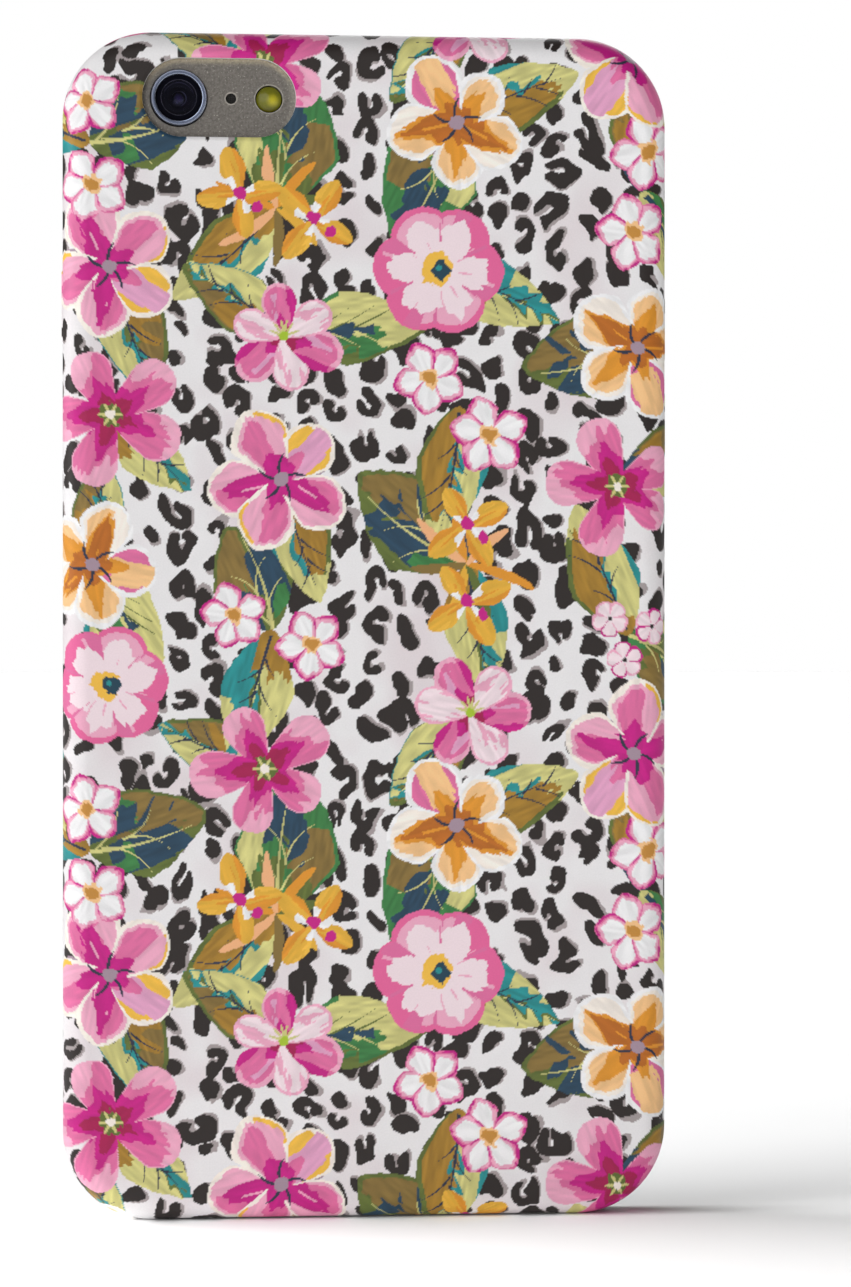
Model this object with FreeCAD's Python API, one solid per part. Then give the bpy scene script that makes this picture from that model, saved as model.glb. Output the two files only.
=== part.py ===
import FreeCAD, Part
import math
import os

# Slim printed hard case for a 5.5 inch class handset, with the handset it holds.
# Frame, in millimetres: the origin is the centre of the printed back's outer face.
# +Z is up along the case, +Y runs from the printed back to the screen, and +X is
# to the right for someone looking at the printed back, so the camera is at -X.

V = FreeCAD.Vector

# ---------------------------------------------------------------- driving sizes
HANDSET_WIDTH = 79.0
HANDSET_HEIGHT = 157.0
HANDSET_DEPTH = 7.1
HANDSET_CORNER = 10.7
HANDSET_BACK_EDGE = 2.3
HANDSET_FRONT_EDGE = 0.8

FIT_GAP = 0.10          # free space between handset and case, all round
WALL = 1.20             # case wall, printed film included
FILM = 0.15             # printed film on the outside of the case
LIP = 0.40              # the case stands this far in front of the screen
BACK_EDGE = 3.4         # rounding where the back turns into the sides
FRONT_EDGE = 1.0        # rounding of the lip

# ------------------------------------------------------- worked out from those
MARGIN = WALL + FIT_GAP
CASE_WIDTH = HANDSET_WIDTH + 2 * MARGIN
CASE_HEIGHT = HANDSET_HEIGHT + 2 * MARGIN
CASE_DEPTH = MARGIN + HANDSET_DEPTH + LIP
CASE_CORNER = HANDSET_CORNER + MARGIN
CAVITY_SIDE = CASE_WIDTH / 2 - WALL
CASE_SIDE = CASE_WIDTH / 2
CASE_END = CASE_HEIGHT / 2
HANDSET_BACK = MARGIN
HANDSET_FRONT = MARGIN + HANDSET_DEPTH
HANDSET_SIDE = HANDSET_WIDTH / 2
HANDSET_END = HANDSET_HEIGHT / 2
KEY_Y = HANDSET_BACK + HANDSET_DEPTH / 2     # the side keys sit halfway through the handset
BEYOND = 3.0                                 # how far a cutting tool runs past what it cuts

# ------------------------------------------------ camera row, seen in the window
ROW_Z = 70.8
WINDOW_X = -19.9
WINDOW_LENGTH = 20.6
WINDOW_HEIGHT = 10.6
WINDOW_BEVEL = 0.35
LENS_X = -25.3
MICROPHONE_X = -18.3
FLASH_X = -13.2
BACK_SKIN = 1.0         # metal left over the camera row on the inside
RING_RADIUS = 3.75
RING_GAP = 0.15
RING_PROUD = 0.7
GLASS_RADIUS = 3.0
FLASH_RADIUS = 1.72
MICROPHONE_RADIUS = 0.72

# -------------------------------------------------------------------- side keys
POWER_Z = 43.0
VOLUME_UP_Z = 40.5
VOLUME_DOWN_Z = 27.5
MUTE_Z = 53.5
KEY_LENGTH = 9.4
KEY_WIDTH = 2.4
KEY_PROUD = 0.4
KEY_TRAVEL = 0.3
KEY_DEPTH = 1.9         # how far a key reaches into the housing
KEY_CLEARANCE = 0.10
COVER_LENGTH = 9.8
COVER_WIDTH = 2.8
COVER_PROUD = 0.15
COVER_GROOVE = 0.25     # open groove round a key cover
FLANGE = 0.35           # thickness of the plate that keeps a cover in the wall
FLANGE_BORDER = 0.9
MUTE_LENGTH = 5.6
MUTE_WIDTH = 1.7
MUTE_TRAVEL = 1.4
MUTE_SLOT_LENGTH = 8.4
MUTE_SLOT_WIDTH = 4.0

# ------------------------------------------------------------------- lower edge
OPENING_HALF = 27.5     # half the width of the opening below the handset
OPENING_BACK = 2.3      # the opening starts this far from the printed back
PORT_LENGTH = 8.6
PORT_WIDTH = 2.9
PORT_WALL = 0.3
PORT_DEPTH = 6.5
JACK_X = 20.0
JACK_RADIUS = 1.78
JACK_WALL = 0.6
JACK_DEPTH = 13.0
SPEAKER_X = -17.0
SPEAKER_HOLES = 6
SPEAKER_PITCH = 2.2
SPEAKER_RADIUS = 0.7
SCREW_X = 7.6
SCREW_RADIUS = 0.85
STRIP_Z = 62.0          # plastic antenna strips cross the metal back at this height, up and down
STRIP_WIDTH = 1.2
STRIP_DEPTH = 0.4

# ------------------------------------------------------------------------ front
GLASS_INSET = 1.0       # metal frame left round the front glass
GLASS_DEPTH = 0.9
GLASS_PROUD = 0.3
SCREEN_WIDTH = 69.0
SCREEN_HEIGHT = 122.0
SCREEN_CORNER = 1.2
HOME_Z = -70.3
HOME_LENGTH = 13.0
HOME_WIDTH = 5.6
HOME_RIM = 0.45
HOME_TRAVEL = 0.3
EARPIECE_Z = 70.3
EARPIECE_LENGTH = 11.0
EARPIECE_WIDTH = 1.7
SELFIE_X = 11.0
SELFIE_RADIUS = 1.1
SLIDE_GAP = 0.05        # running gap round pieces let into the front glass


# ================================================================ basic shapes
def edges_at(solid, axis, value):
    """Edges that lie wholly in the plane axis = value."""
    found = []
    for edge in solid.Edges:
        box = edge.BoundBox
        low = getattr(box, axis + "Min")
        high = getattr(box, axis + "Max")
        if abs(low - value) < 1e-4 and abs(high - value) < 1e-4:
            found.append(edge)
    return found


def block(x0, x1, y0, y1, z0, z1):
    return Part.makeBox(x1 - x0, y1 - y0, z1 - z0, V(x0, y0, z0))


def slab(width, height, corner, back, front):
    """Upright plate with round corners, centred on the Y axis."""
    plate = block(-width / 2, width / 2, back, front, -height / 2, height / 2)
    uprights = [e for e in plate.Edges if abs(e.BoundBox.YLength - (front - back)) < 1e-6]
    return plate.makeFillet(corner, uprights)


def disc(radius, start, travel):
    return Part.makeCylinder(radius, travel.Length, start, travel)


def pill(length, width, start, travel, along):
    """Bar with half-round ends: its long axis is along, and it is swept by travel."""
    across = travel.cross(along).normalize() * (width / 2)
    reach = along * ((length - width) / 2)
    tip = along * (length / 2)
    right_low, right_high = start + reach - across, start + reach + across
    left_low, left_high = start - reach - across, start - reach + across
    sides = [
        Part.LineSegment(left_low, right_low),
        Part.Arc(right_low, start + tip, right_high),
        Part.LineSegment(right_high, left_high),
        Part.Arc(left_high, start - tip, left_low),
    ]
    outline = Part.Wire([side.toShape() for side in sides])
    return Part.Face(outline).extrude(travel)


def pill_ring(length, width, thickness, start, travel, along):
    inner = pill(length - 2 * thickness, width - 2 * thickness, start, travel, along)
    return pill(length, width, start, travel, along).cut(inner)


def turned(profile, x, z):
    """Solid of revolution about the Y axis through (x, z); profile is (radius, y) pairs."""
    points = [V(x + radius, y, z) for radius, y in profile]
    points.append(points[0])
    return Part.Face(Part.makePolygon(points)).revolve(V(x, 0, z), V(0, 1, 0), 360)


def join(shapes):
    first, *others = shapes
    return first.fuse(others).removeSplitter() if others else first


# ==================================================================== the case
def case_form(inset):
    """Outside of the case, moved inwards by inset, with its back edge rounded."""
    form = slab(CASE_WIDTH - 2 * inset, CASE_HEIGHT - 2 * inset, CASE_CORNER - inset, inset, CASE_DEPTH)
    return form.makeFillet(BACK_EDGE - inset, edges_at(form, "Y", inset))


def handset_space():
    """The hollow of the case: the handset with the fit gap round it, open to the front."""
    side = 2 * FIT_GAP
    corner = HANDSET_CORNER + FIT_GAP
    space = slab(HANDSET_WIDTH + side, HANDSET_HEIGHT + side, corner, WALL, CASE_DEPTH + BEYOND)
    return space.makeFillet(HANDSET_BACK_EDGE + FIT_GAP, edges_at(space, "Y", WALL))


def window_tool():
    """Camera window through the back, with a bevelled outer edge."""
    mouth = V(WINDOW_X, -BEYOND, ROW_Z)
    along = V(1, 0, 0)
    grow = 2 * WINDOW_BEVEL
    hole = pill(WINDOW_LENGTH, WINDOW_HEIGHT, mouth, V(0, 2 * BEYOND, 0), along)
    flare = pill(WINDOW_LENGTH + grow, WINDOW_HEIGHT + grow, mouth, V(0, BEYOND + WINDOW_BEVEL, 0), along)
    flare = flare.makeChamfer(WINDOW_BEVEL * 0.999, edges_at(flare, "Y", WINDOW_BEVEL))
    return hole.fuse(flare)


def lower_opening_tool():
    """Opening for plug, speaker and jack; its inner corners are round."""
    radius = 2.0
    tool = block(-OPENING_HALF, OPENING_HALF, OPENING_BACK, CASE_DEPTH + BEYOND, -CASE_END - BEYOND, -CASE_END + 2.3)
    inner = [e for e in edges_at(tool, "Y", OPENING_BACK) if e.BoundBox.ZLength > radius]
    return tool.makeFillet(radius, inner)


def side_pill(side, length, width, y, z, inner, outer):
    """Pill across a long side, from inner to outer distance; side is -1 or 1."""
    return pill(length, width, V(side * inner, y, z), V(side * (outer - inner), 0, 0), V(0, 0, 1))


def cover_slot(side, z):
    """Hole in the wall for a key cover."""
    grow = 2 * COVER_GROOVE
    return side_pill(side, COVER_LENGTH + grow, COVER_WIDTH + grow, KEY_Y, z, CAVITY_SIDE - 1, CASE_SIDE + 1)


def cover_pocket(side, z):
    """Pocket behind the slot for the cover's flange, and the way out for the key."""
    border = FLANGE_BORDER + COVER_GROOVE + 0.1
    floor = HANDSET_SIDE + KEY_PROUD + FLANGE + 0.05
    flange_space = side_pill(
        side, COVER_LENGTH + 2 * border, COVER_WIDTH + 2 * border, KEY_Y, z, CAVITY_SIDE - 1, floor
    )
    return flange_space.fuse(way_out(side, z, KEY_LENGTH, KEY_PROUD))


def way_out(side, z, length, proud):
    """Shallow channel that lets a key pass the wall as the handset comes out."""
    reach = HANDSET_SIDE + proud + FIT_GAP
    half = length / 2 + 2 * FIT_GAP
    low, high = sorted((side * (CAVITY_SIDE - 1), side * reach))
    return block(low, high, KEY_Y - KEY_WIDTH, CASE_DEPTH + BEYOND, z - half, z + half)


def mute_slot():
    hole = side_pill(1, MUTE_SLOT_LENGTH, MUTE_SLOT_WIDTH, KEY_Y, MUTE_Z, CAVITY_SIDE - 1, CASE_SIDE + 1)
    return hole.fuse(way_out(1, MUTE_Z, MUTE_LENGTH, KEY_PROUD))


KEYS = {"power": (-1, POWER_Z), "volume_up": (1, VOLUME_UP_Z), "volume_down": (1, VOLUME_DOWN_Z)}


def build_case():
    whole = case_form(0)
    film_end = CASE_DEPTH - FRONT_EDGE
    film = whole.cut(case_form(FILM))
    film = film.common(block(-CASE_WIDTH, CASE_WIDTH, -1, film_end, -CASE_HEIGHT, CASE_HEIGHT))
    shell = whole.makeFillet(FRONT_EDGE, edges_at(whole, "Y", CASE_DEPTH))
    shell = shell.cut(film).cut(handset_space())
    through = [window_tool(), lower_opening_tool(), mute_slot()]
    through += [cover_slot(side, z) for side, z in KEYS.values()]
    shell = shell.cut(through)
    film = film.cut(through)
    shell = shell.cut([cover_pocket(side, z) for side, z in KEYS.values()])
    return {"case_shell": shell, "print_film": film}


def build_cover(side, z):
    """Key cover: a pad that fills the slot and a wider flange that stays inside the wall."""
    inner = HANDSET_SIDE + KEY_PROUD + 0.02
    flange = side_pill(
        side,
        COVER_LENGTH + 2 * FLANGE_BORDER,
        COVER_WIDTH + 2 * FLANGE_BORDER,
        KEY_Y,
        z,
        inner,
        inner + FLANGE,
    )
    top = CASE_SIDE + COVER_PROUD
    pad = side_pill(side, COVER_LENGTH, COVER_WIDTH, KEY_Y, z, inner, top)
    pad = pad.makeFillet(0.3, edges_at(pad, "X", side * top))
    return join([flange, pad])


# ================================================================= the handset
def housing_form(inset):
    """Outside of the metal housing, moved inwards by inset."""
    front = HANDSET_FRONT - GLASS_PROUD
    back = HANDSET_BACK + inset
    form = slab(HANDSET_WIDTH - 2 * inset, HANDSET_HEIGHT - 2 * inset, HANDSET_CORNER - inset, back, front)
    form = form.makeFillet(HANDSET_BACK_EDGE - inset, edges_at(form, "Y", back))
    return form.makeFillet(HANDSET_FRONT_EDGE, edges_at(form, "Y", front))


def glass_plate(gap, back, front):
    """Plate that fills the front of the housing, smaller by gap all round."""
    inset = 2 * (GLASS_INSET + gap)
    corner = HANDSET_CORNER - GLASS_INSET - gap
    return slab(HANDSET_WIDTH - inset, HANDSET_HEIGHT - inset, corner, back, front)


GLASS_BACK = HANDSET_FRONT - GLASS_DEPTH
BAY_BACK = HANDSET_BACK + BACK_SKIN + 0.4
BAY_HALF_WIDTH = 35.0
BAY_HALF_HEIGHT = 74.0


def build_antenna_strips():
    """Two plastic bands let into the metal back and its sides."""
    skin = housing_form(0).cut(housing_form(STRIP_DEPTH))
    low, high = STRIP_Z - STRIP_WIDTH / 2, STRIP_Z + STRIP_WIDTH / 2
    front = HANDSET_FRONT - GLASS_PROUD - HANDSET_FRONT_EDGE
    bands = [
        block(-CASE_WIDTH, CASE_WIDTH, 0, front, low, high),
        block(-CASE_WIDTH, CASE_WIDTH, 0, front, -high, -low),
    ]
    return Part.makeCompound([skin.common(band) for band in bands])


def key_pocket(side, z):
    grow = 2 * KEY_CLEARANCE
    bottom = HANDSET_SIDE - KEY_DEPTH - KEY_TRAVEL - KEY_CLEARANCE
    return side_pill(side, KEY_LENGTH + grow, KEY_WIDTH + grow, KEY_Y, z, bottom, HANDSET_SIDE + 1)


def build_housing(strips):
    housing = housing_form(0).cut(strips)
    back = V(0, -BEYOND, 0)
    row = [(LENS_X, RING_RADIUS + RING_GAP), (FLASH_X, FLASH_RADIUS + 0.13), (MICROPHONE_X, MICROPHONE_RADIUS)]
    tools = [glass_plate(0, GLASS_BACK, HANDSET_FRONT + 1)]
    tools.append(slab(2 * BAY_HALF_WIDTH, 2 * BAY_HALF_HEIGHT, 7.0, BAY_BACK, HANDSET_FRONT))
    tools += [disc(radius, V(x, 0, ROW_Z) + back, V(0, 2 * BEYOND, 0)) for x, radius in row]
    tools += [key_pocket(side, z) for side, z in KEYS.values()]
    half_length = MUTE_LENGTH / 2 + 2 * KEY_CLEARANCE
    half_width = (MUTE_WIDTH + MUTE_TRAVEL) / 2 + 2 * KEY_CLEARANCE
    mute_pocket = block(
        HANDSET_SIDE - KEY_DEPTH,
        HANDSET_SIDE + BEYOND,
        KEY_Y - half_width,
        KEY_Y + half_width,
        MUTE_Z - half_length,
        MUTE_Z + half_length,
    )
    tools.append(mute_pocket)
    up = V(0, 0, BEYOND + HANDSET_END - BAY_HALF_HEIGHT)
    low = -HANDSET_END - BEYOND / 2
    tools.append(pill(PORT_LENGTH, PORT_WIDTH, V(0, KEY_Y, low), up, V(1, 0, 0)))
    tools.append(disc(JACK_RADIUS + JACK_WALL, V(JACK_X, KEY_Y, low), up + V(0, 0, JACK_DEPTH)))
    tools += [disc(SPEAKER_RADIUS, V(x, KEY_Y, low), up) for x in speaker_places()]
    tools += [disc(SCREW_RADIUS + 0.1, V(x, KEY_Y, low), V(0, 0, BEYOND)) for x in (-SCREW_X, SCREW_X)]
    return housing.cut(tools)


def speaker_places():
    return [SPEAKER_X + (i - (SPEAKER_HOLES - 1) / 2) * SPEAKER_PITCH for i in range(SPEAKER_HOLES)]


def build_camera():
    """Ring, cover glass, stepped barrel, first lens element and the module behind them."""
    top = HANDSET_BACK - RING_PROUD
    seat = HANDSET_BACK + BACK_SKIN
    step = 0.12
    ring = turned(
        [
            (GLASS_RADIUS + 0.02, top + 0.30),
            (GLASS_RADIUS + 0.18, top + 0.02),
            (GLASS_RADIUS + 0.30, top),
            (RING_RADIUS - step, top),
            (RING_RADIUS, top + step),
            (RING_RADIUS, seat),
            (GLASS_RADIUS + 0.02, seat),
        ],
        LENS_X,
        ROW_Z,
    )
    glass = disc(GLASS_RADIUS, V(LENS_X, top + 0.22, ROW_Z), V(0, 0.35, 0))
    shelf = top + 0.22 + 0.35
    barrel = turned(
        [
            (GLASS_RADIUS - 0.02, shelf + 0.01),
            (2.25, shelf + 0.01),
            (2.05, shelf + 0.22),
            (1.55, shelf + 0.22),
            (1.10, shelf + 0.75),
            (0.95, shelf + 0.75),
            (0.95, BAY_BACK),
            (GLASS_RADIUS - 0.02, BAY_BACK),
        ],
        LENS_X,
        ROW_Z,
    )
    radius = 1.6
    dome_base = shelf + 0.90
    ball = Part.makeSphere(radius, V(LENS_X, dome_base - 0.33 + radius, ROW_Z))
    element = ball.common(disc(0.93, V(LENS_X, dome_base - 1, ROW_Z), V(0, 1.25, 0)))
    body_back = BAY_BACK + 0.02
    body = block(LENS_X - 4.1, LENS_X + 4.1, body_back, body_back + 2.9, ROW_Z - 3.0, ROW_Z + 2.6)
    body = body.makeFillet(0.5, [e for e in body.Edges if e.BoundBox.YLength > 2])
    return {
        "camera_ring": ring,
        "camera_glass": glass,
        "camera_barrel": barrel,
        "camera_lens_element": element,
        "camera_module": body,
    }


def build_flash():
    """Domed diffuser over the light source."""
    radius = 3.2
    face = HANDSET_BACK + 0.05
    rise = radius - math.sqrt(radius**2 - FLASH_RADIUS**2)
    ball = Part.makeSphere(radius, V(FLASH_X, face + radius, ROW_Z))
    dome = ball.common(disc(FLASH_RADIUS, V(FLASH_X, face - 1, ROW_Z), V(0, 1 + rise, 0)))
    skirt = disc(FLASH_RADIUS, V(FLASH_X, face + rise, ROW_Z), V(0, 0.45, 0))
    emitter_back = face + rise + 0.47
    emitter = block(FLASH_X - 1.1, FLASH_X + 1.1, emitter_back, emitter_back + 0.7, ROW_Z - 1.1, ROW_Z + 1.1)
    return {"flash_diffuser": join([dome, skirt]), "flash_emitter": emitter}


def build_key(side, z):
    top = HANDSET_SIDE + KEY_PROUD
    key = side_pill(side, KEY_LENGTH, KEY_WIDTH, KEY_Y, z, HANDSET_SIDE - KEY_DEPTH, top)
    return key.makeFillet(0.25, edges_at(key, "X", side * top))


def build_mute_slider():
    """Flat slider; at rest it is at the screen end of its slot."""
    top = HANDSET_SIDE + KEY_PROUD
    y = KEY_Y + MUTE_TRAVEL / 2
    slider = side_pill(1, MUTE_LENGTH, MUTE_WIDTH, y, MUTE_Z, HANDSET_SIDE - KEY_DEPTH + 0.05, top)
    return slider.makeFillet(0.2, edges_at(slider, "X", top))


def build_front():
    """Front glass, the screen let into it, home key, earpiece and front camera window."""
    across = V(1, 0, 0)
    glass = glass_plate(0.05, GLASS_BACK, HANDSET_FRONT)
    glass = glass.makeFillet(0.35, edges_at(glass, "Y", HANDSET_FRONT))
    through = V(0, GLASS_DEPTH + 2, 0)
    screen_tool = slab(SCREEN_WIDTH, SCREEN_HEIGHT, SCREEN_CORNER, GLASS_BACK - 1, HANDSET_FRONT + 1)
    home_tool = pill(HOME_LENGTH, HOME_WIDTH, V(0, GLASS_BACK - 1, HOME_Z), through, across)
    ear_tool = pill(EARPIECE_LENGTH, EARPIECE_WIDTH, V(0, GLASS_BACK - 1, EARPIECE_Z), through, across)
    selfie_tool = disc(SELFIE_RADIUS, V(SELFIE_X, GLASS_BACK - 1, EARPIECE_Z), through)
    glass = glass.cut([screen_tool, home_tool, ear_tool, selfie_tool])

    trim = 2 * SLIDE_GAP
    screen = slab(SCREEN_WIDTH - trim, SCREEN_HEIGHT - trim, SCREEN_CORNER, GLASS_BACK, HANDSET_FRONT - 0.04)
    rim_start = V(0, GLASS_BACK, HOME_Z)
    rim_travel = V(0, GLASS_DEPTH + 0.03, 0)
    rim = pill_ring(HOME_LENGTH - trim, HOME_WIDTH - trim, HOME_RIM, rim_start, rim_travel, across)
    key_trim = trim + 2 * (HOME_RIM + SLIDE_GAP)
    key_travel = V(0, GLASS_DEPTH - 0.15, 0)
    home = pill(HOME_LENGTH - key_trim, HOME_WIDTH - key_trim, rim_start, key_travel, across)
    home = home.makeFillet(0.12, edges_at(home, "Y", HANDSET_FRONT - 0.15))
    ear_travel = V(0, GLASS_DEPTH - 0.25, 0)
    ear_start = V(0, GLASS_BACK, EARPIECE_Z)
    earpiece = pill(EARPIECE_LENGTH - trim, EARPIECE_WIDTH - trim, ear_start, ear_travel, across)
    selfie_start = V(SELFIE_X, GLASS_BACK, EARPIECE_Z)
    selfie = disc(SELFIE_RADIUS - SLIDE_GAP, selfie_start, V(0, GLASS_DEPTH - 0.05, 0))
    return {
        "front_glass": glass,
        "screen_panel": screen,
        "home_key_rim": rim,
        "home_key": home,
        "earpiece_mesh": earpiece,
        "front_camera_window": selfie,
    }


def screw(x):
    """Small screw in the lower edge, with a cross slot in its flat head."""
    head_end = -HANDSET_END + 0.15
    head = disc(SCREW_RADIUS, V(x, KEY_Y, head_end), V(0, 0, 0.6))
    shank = disc(SCREW_RADIUS * 0.6, V(x, KEY_Y, head_end + 0.6), V(0, 0, 0.75))
    slot = 0.11
    reach = SCREW_RADIUS * 0.75
    cross = [
        block(x - reach, x + reach, KEY_Y - slot, KEY_Y + slot, head_end - 1, head_end + 0.3),
        block(x - slot, x + slot, KEY_Y - reach, KEY_Y + reach, head_end - 1, head_end + 0.3),
    ]
    return join([head, shank]).cut(cross)


def build_lower_edge():
    """Charging port, headphone jack, speaker mesh and screws."""
    across = V(1, 0, 0)
    mouth = -HANDSET_END + 0.05
    up = V(0, 0, PORT_DEPTH)
    gap = 0.04
    start = V(0, KEY_Y, mouth)
    liner = pill_ring(PORT_LENGTH - gap, PORT_WIDTH - gap, PORT_WALL, start, up, across)
    liner_end = pill(PORT_LENGTH - gap, PORT_WIDTH - gap, start + up, V(0, 0, 0.5), across)
    liner = join([liner, liner_end])
    tongue_low = mouth + 1.1
    tongue = block(-3.0, 3.0, KEY_Y - 0.35, KEY_Y + 0.35, tongue_low, mouth + PORT_DEPTH)
    tongue = tongue.makeFillet(0.2, edges_at(tongue, "Z", tongue_low))
    jack_start = V(JACK_X, KEY_Y, mouth)
    jack_outer = JACK_RADIUS + JACK_WALL - gap / 2
    jack = disc(jack_outer, jack_start, V(0, 0, JACK_DEPTH + 0.6))
    jack = jack.cut(disc(JACK_RADIUS, jack_start - V(0, 0, 1), V(0, 0, JACK_DEPTH + 1)))
    mesh_half = SPEAKER_HOLES * SPEAKER_PITCH / 2
    mesh_low = -BAY_HALF_HEIGHT + 0.02
    mesh = block(SPEAKER_X - mesh_half, SPEAKER_X + mesh_half, KEY_Y - 1.2, KEY_Y + 1.2, mesh_low, mesh_low + 0.3)
    screws = Part.makeCompound([screw(-SCREW_X), screw(SCREW_X)])
    return {
        "charge_port_liner": liner,
        "charge_port_tongue": tongue,
        "headphone_jack": jack,
        "speaker_mesh": mesh,
        "bottom_screws": screws,
    }


def build_inside():
    """Battery and main board in the bay behind the screen, and the rear microphone's mesh."""
    floor = BAY_BACK + 0.1
    ceiling = GLASS_BACK - 0.15
    battery = block(-5.0, 33.0, floor, ceiling, -52.0, 52.0)
    battery = battery.makeFillet(1.2, [e for e in battery.Edges if e.BoundBox.YLength > 3])
    board = block(-33.0, -8.0, ceiling - 1.3, ceiling - 0.5, -50.0, 62.0)
    chips = [(-24.0, 40.0, 7.0, 7.0), (-23.0, 15.0, 6.0, 8.0), (-24.0, -12.0, 5.0, 5.0), (-20.0, -34.0, 8.0, 4.0)]
    parts = [board]
    for x, z, half_width, half_height in chips:
        low, high = ceiling - 2.4, ceiling - 1.2
        parts.append(block(x - half_width, x + half_width, low, high, z - half_height, z + half_height))
    mesh_start = V(MICROPHONE_X, HANDSET_BACK + 0.45, ROW_Z)
    mesh = disc(MICROPHONE_RADIUS - 0.02, mesh_start, V(0, 0.2, 0))
    return {"battery": battery, "main_board": join(parts), "rear_microphone_mesh": mesh}


# ===================================================================== output
def main():
    nodes = build_case()
    for name, (side, z) in KEYS.items():
        nodes[name + "_cover"] = build_cover(side, z)
        nodes[name + "_key"] = build_key(side, z)
    nodes["antenna_strips"] = build_antenna_strips()
    nodes["handset_housing"] = build_housing(nodes["antenna_strips"])
    nodes["mute_slider"] = build_mute_slider()
    for group in (build_camera(), build_flash(), build_front(), build_lower_edge(), build_inside()):
        nodes.update(group)
    os.makedirs("parts", exist_ok=True)
    for name, shape in nodes.items():
        if not shape.isValid() or not shape.Solids:
            raise ValueError(name + " is not a valid solid")
        shape.exportStep("parts/" + name + ".step")
        print(name, len(shape.Solids), round(shape.Volume, 1))


main()
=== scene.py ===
import bpy
import bmesh
import math

import numpy as np
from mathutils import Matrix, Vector


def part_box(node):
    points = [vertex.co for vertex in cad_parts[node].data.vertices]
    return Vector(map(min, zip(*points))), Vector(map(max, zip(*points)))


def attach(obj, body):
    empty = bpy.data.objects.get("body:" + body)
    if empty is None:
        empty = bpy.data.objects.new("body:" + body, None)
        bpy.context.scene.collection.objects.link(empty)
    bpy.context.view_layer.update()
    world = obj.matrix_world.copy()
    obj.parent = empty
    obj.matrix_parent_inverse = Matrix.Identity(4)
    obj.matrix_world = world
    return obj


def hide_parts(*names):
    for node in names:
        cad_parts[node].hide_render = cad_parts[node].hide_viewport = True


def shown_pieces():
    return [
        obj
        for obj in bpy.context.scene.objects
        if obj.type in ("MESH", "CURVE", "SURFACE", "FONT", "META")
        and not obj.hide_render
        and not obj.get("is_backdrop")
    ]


# Looks of a slim printed phone case round a phone. The frame is in metres: +Z is up along
# the case, -Y is the side of the printed back, and the camera window is at -X.

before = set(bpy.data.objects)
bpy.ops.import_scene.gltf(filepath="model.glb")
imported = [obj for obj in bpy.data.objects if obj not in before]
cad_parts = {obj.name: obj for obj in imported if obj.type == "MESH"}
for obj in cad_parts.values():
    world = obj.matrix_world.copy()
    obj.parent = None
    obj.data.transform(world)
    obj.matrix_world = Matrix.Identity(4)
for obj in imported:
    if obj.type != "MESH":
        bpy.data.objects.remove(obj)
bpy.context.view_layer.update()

MM = 0.001

# ---------------------------------------------------------------- sizes, in millimetres
CASE_SIDE = 40.8         # half the width of the case
CASE_END = 79.8          # half its height
CORNER = 12.0
BACK_EDGE = 3.4          # rounding between the back and the sides
FILM_END = 7.8           # the film stops this far from the back's face
FILM = 0.15              # its thickness
WINDOW = (-19.9, 70.8, 20.6, 10.6)    # middle, then length and width of the camera window
WINDOW_BEVEL = 0.35
KEY_Y = 4.85             # the side keys' distance from the back's face
ROW_Z = 70.8
LENS_X = -25.3
MICROPHONE_X = -18.3
FLASH_X = -13.2
OPENING_HALF = 27.5
OPENING_BACK = 2.3
OPENING_CORNER = 2.0
SLOTS = [                # side, height, length and width of each hole in the long sides
    (-1, 43.0, 10.3, 3.3),
    (1, 40.5, 10.3, 3.3),
    (1, 27.5, 10.3, 3.3),
    (1, 53.5, 8.4, 4.0),
]
STEP = 0.17


# ---------------------------------------------------------------- printed pattern
# The print is painted in millimetres on the unrolled sheet: u runs right and v up from
# the middle of the back. Everything is drawn from formulas. The drawing repeats upwards,
# and one width of it goes round the back and both sides.
TILE = 94.6              # the drawing repeats after this far

INK = {
    "ground": (240, 238, 239),
    "blush": (231, 221, 224),
    "spot": (44, 37, 35),
    "shade": (168, 158, 158),
    "white": (246, 245, 246),
    "cream": (249, 240, 230),
    "pale": (246, 226, 232),
    "light_pink": (240, 172, 198),
    "pink": (226, 112, 162),
    "rose": (233, 104, 158),
    "magenta": (203, 28, 136),
    "crimson": (168, 26, 82),
    "lilac": (230, 165, 200),
    "yellow": (245, 192, 72),
    "gold": (232, 178, 62),
    "orange": (228, 152, 46),
    "brown_orange": (190, 108, 34),
    "peach": (249, 200, 142),
    "apricot": (244, 182, 132),
    "tan": (202, 142, 62),
    "mauve": (168, 145, 160),
    "olive": (136, 112, 58),
    "ochre": (166, 126, 46),
    "moss": (98, 112, 52),
    "green": (62, 128, 70),
    "teal": (38, 144, 146),
    "navy": (40, 70, 92),
    "ink_line": (44, 52, 72),
    "lime": (210, 205, 132),
    "bright_lime": (170, 200, 50),
    "eye": (30, 66, 84),
}

LATTICE = np.random.default_rng(11).random((64, 64, 16))


def noise(x, y, size, layer=0):
    """Smooth noise from 0 to 1 with bumps about size across."""
    x, y = x / size + 7.3 * layer, y / size + 3.1 * layer
    column, row = np.floor(x).astype(int), np.floor(y).astype(int)
    fx, fy = x - column, y - row
    fx, fy = fx * fx * (3 - 2 * fx), fy * fy * (3 - 2 * fy)
    sheet = LATTICE[:, :, layer % 16]
    corner = [[sheet[(column + i) % 64, (row + j) % 64] for j in (0, 1)] for i in (0, 1)]
    low = corner[0][0] * (1 - fx) + corner[1][0] * fx
    high = corner[0][1] * (1 - fx) + corner[1][1] * fx
    return low * (1 - fy) + high * fy


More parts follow.
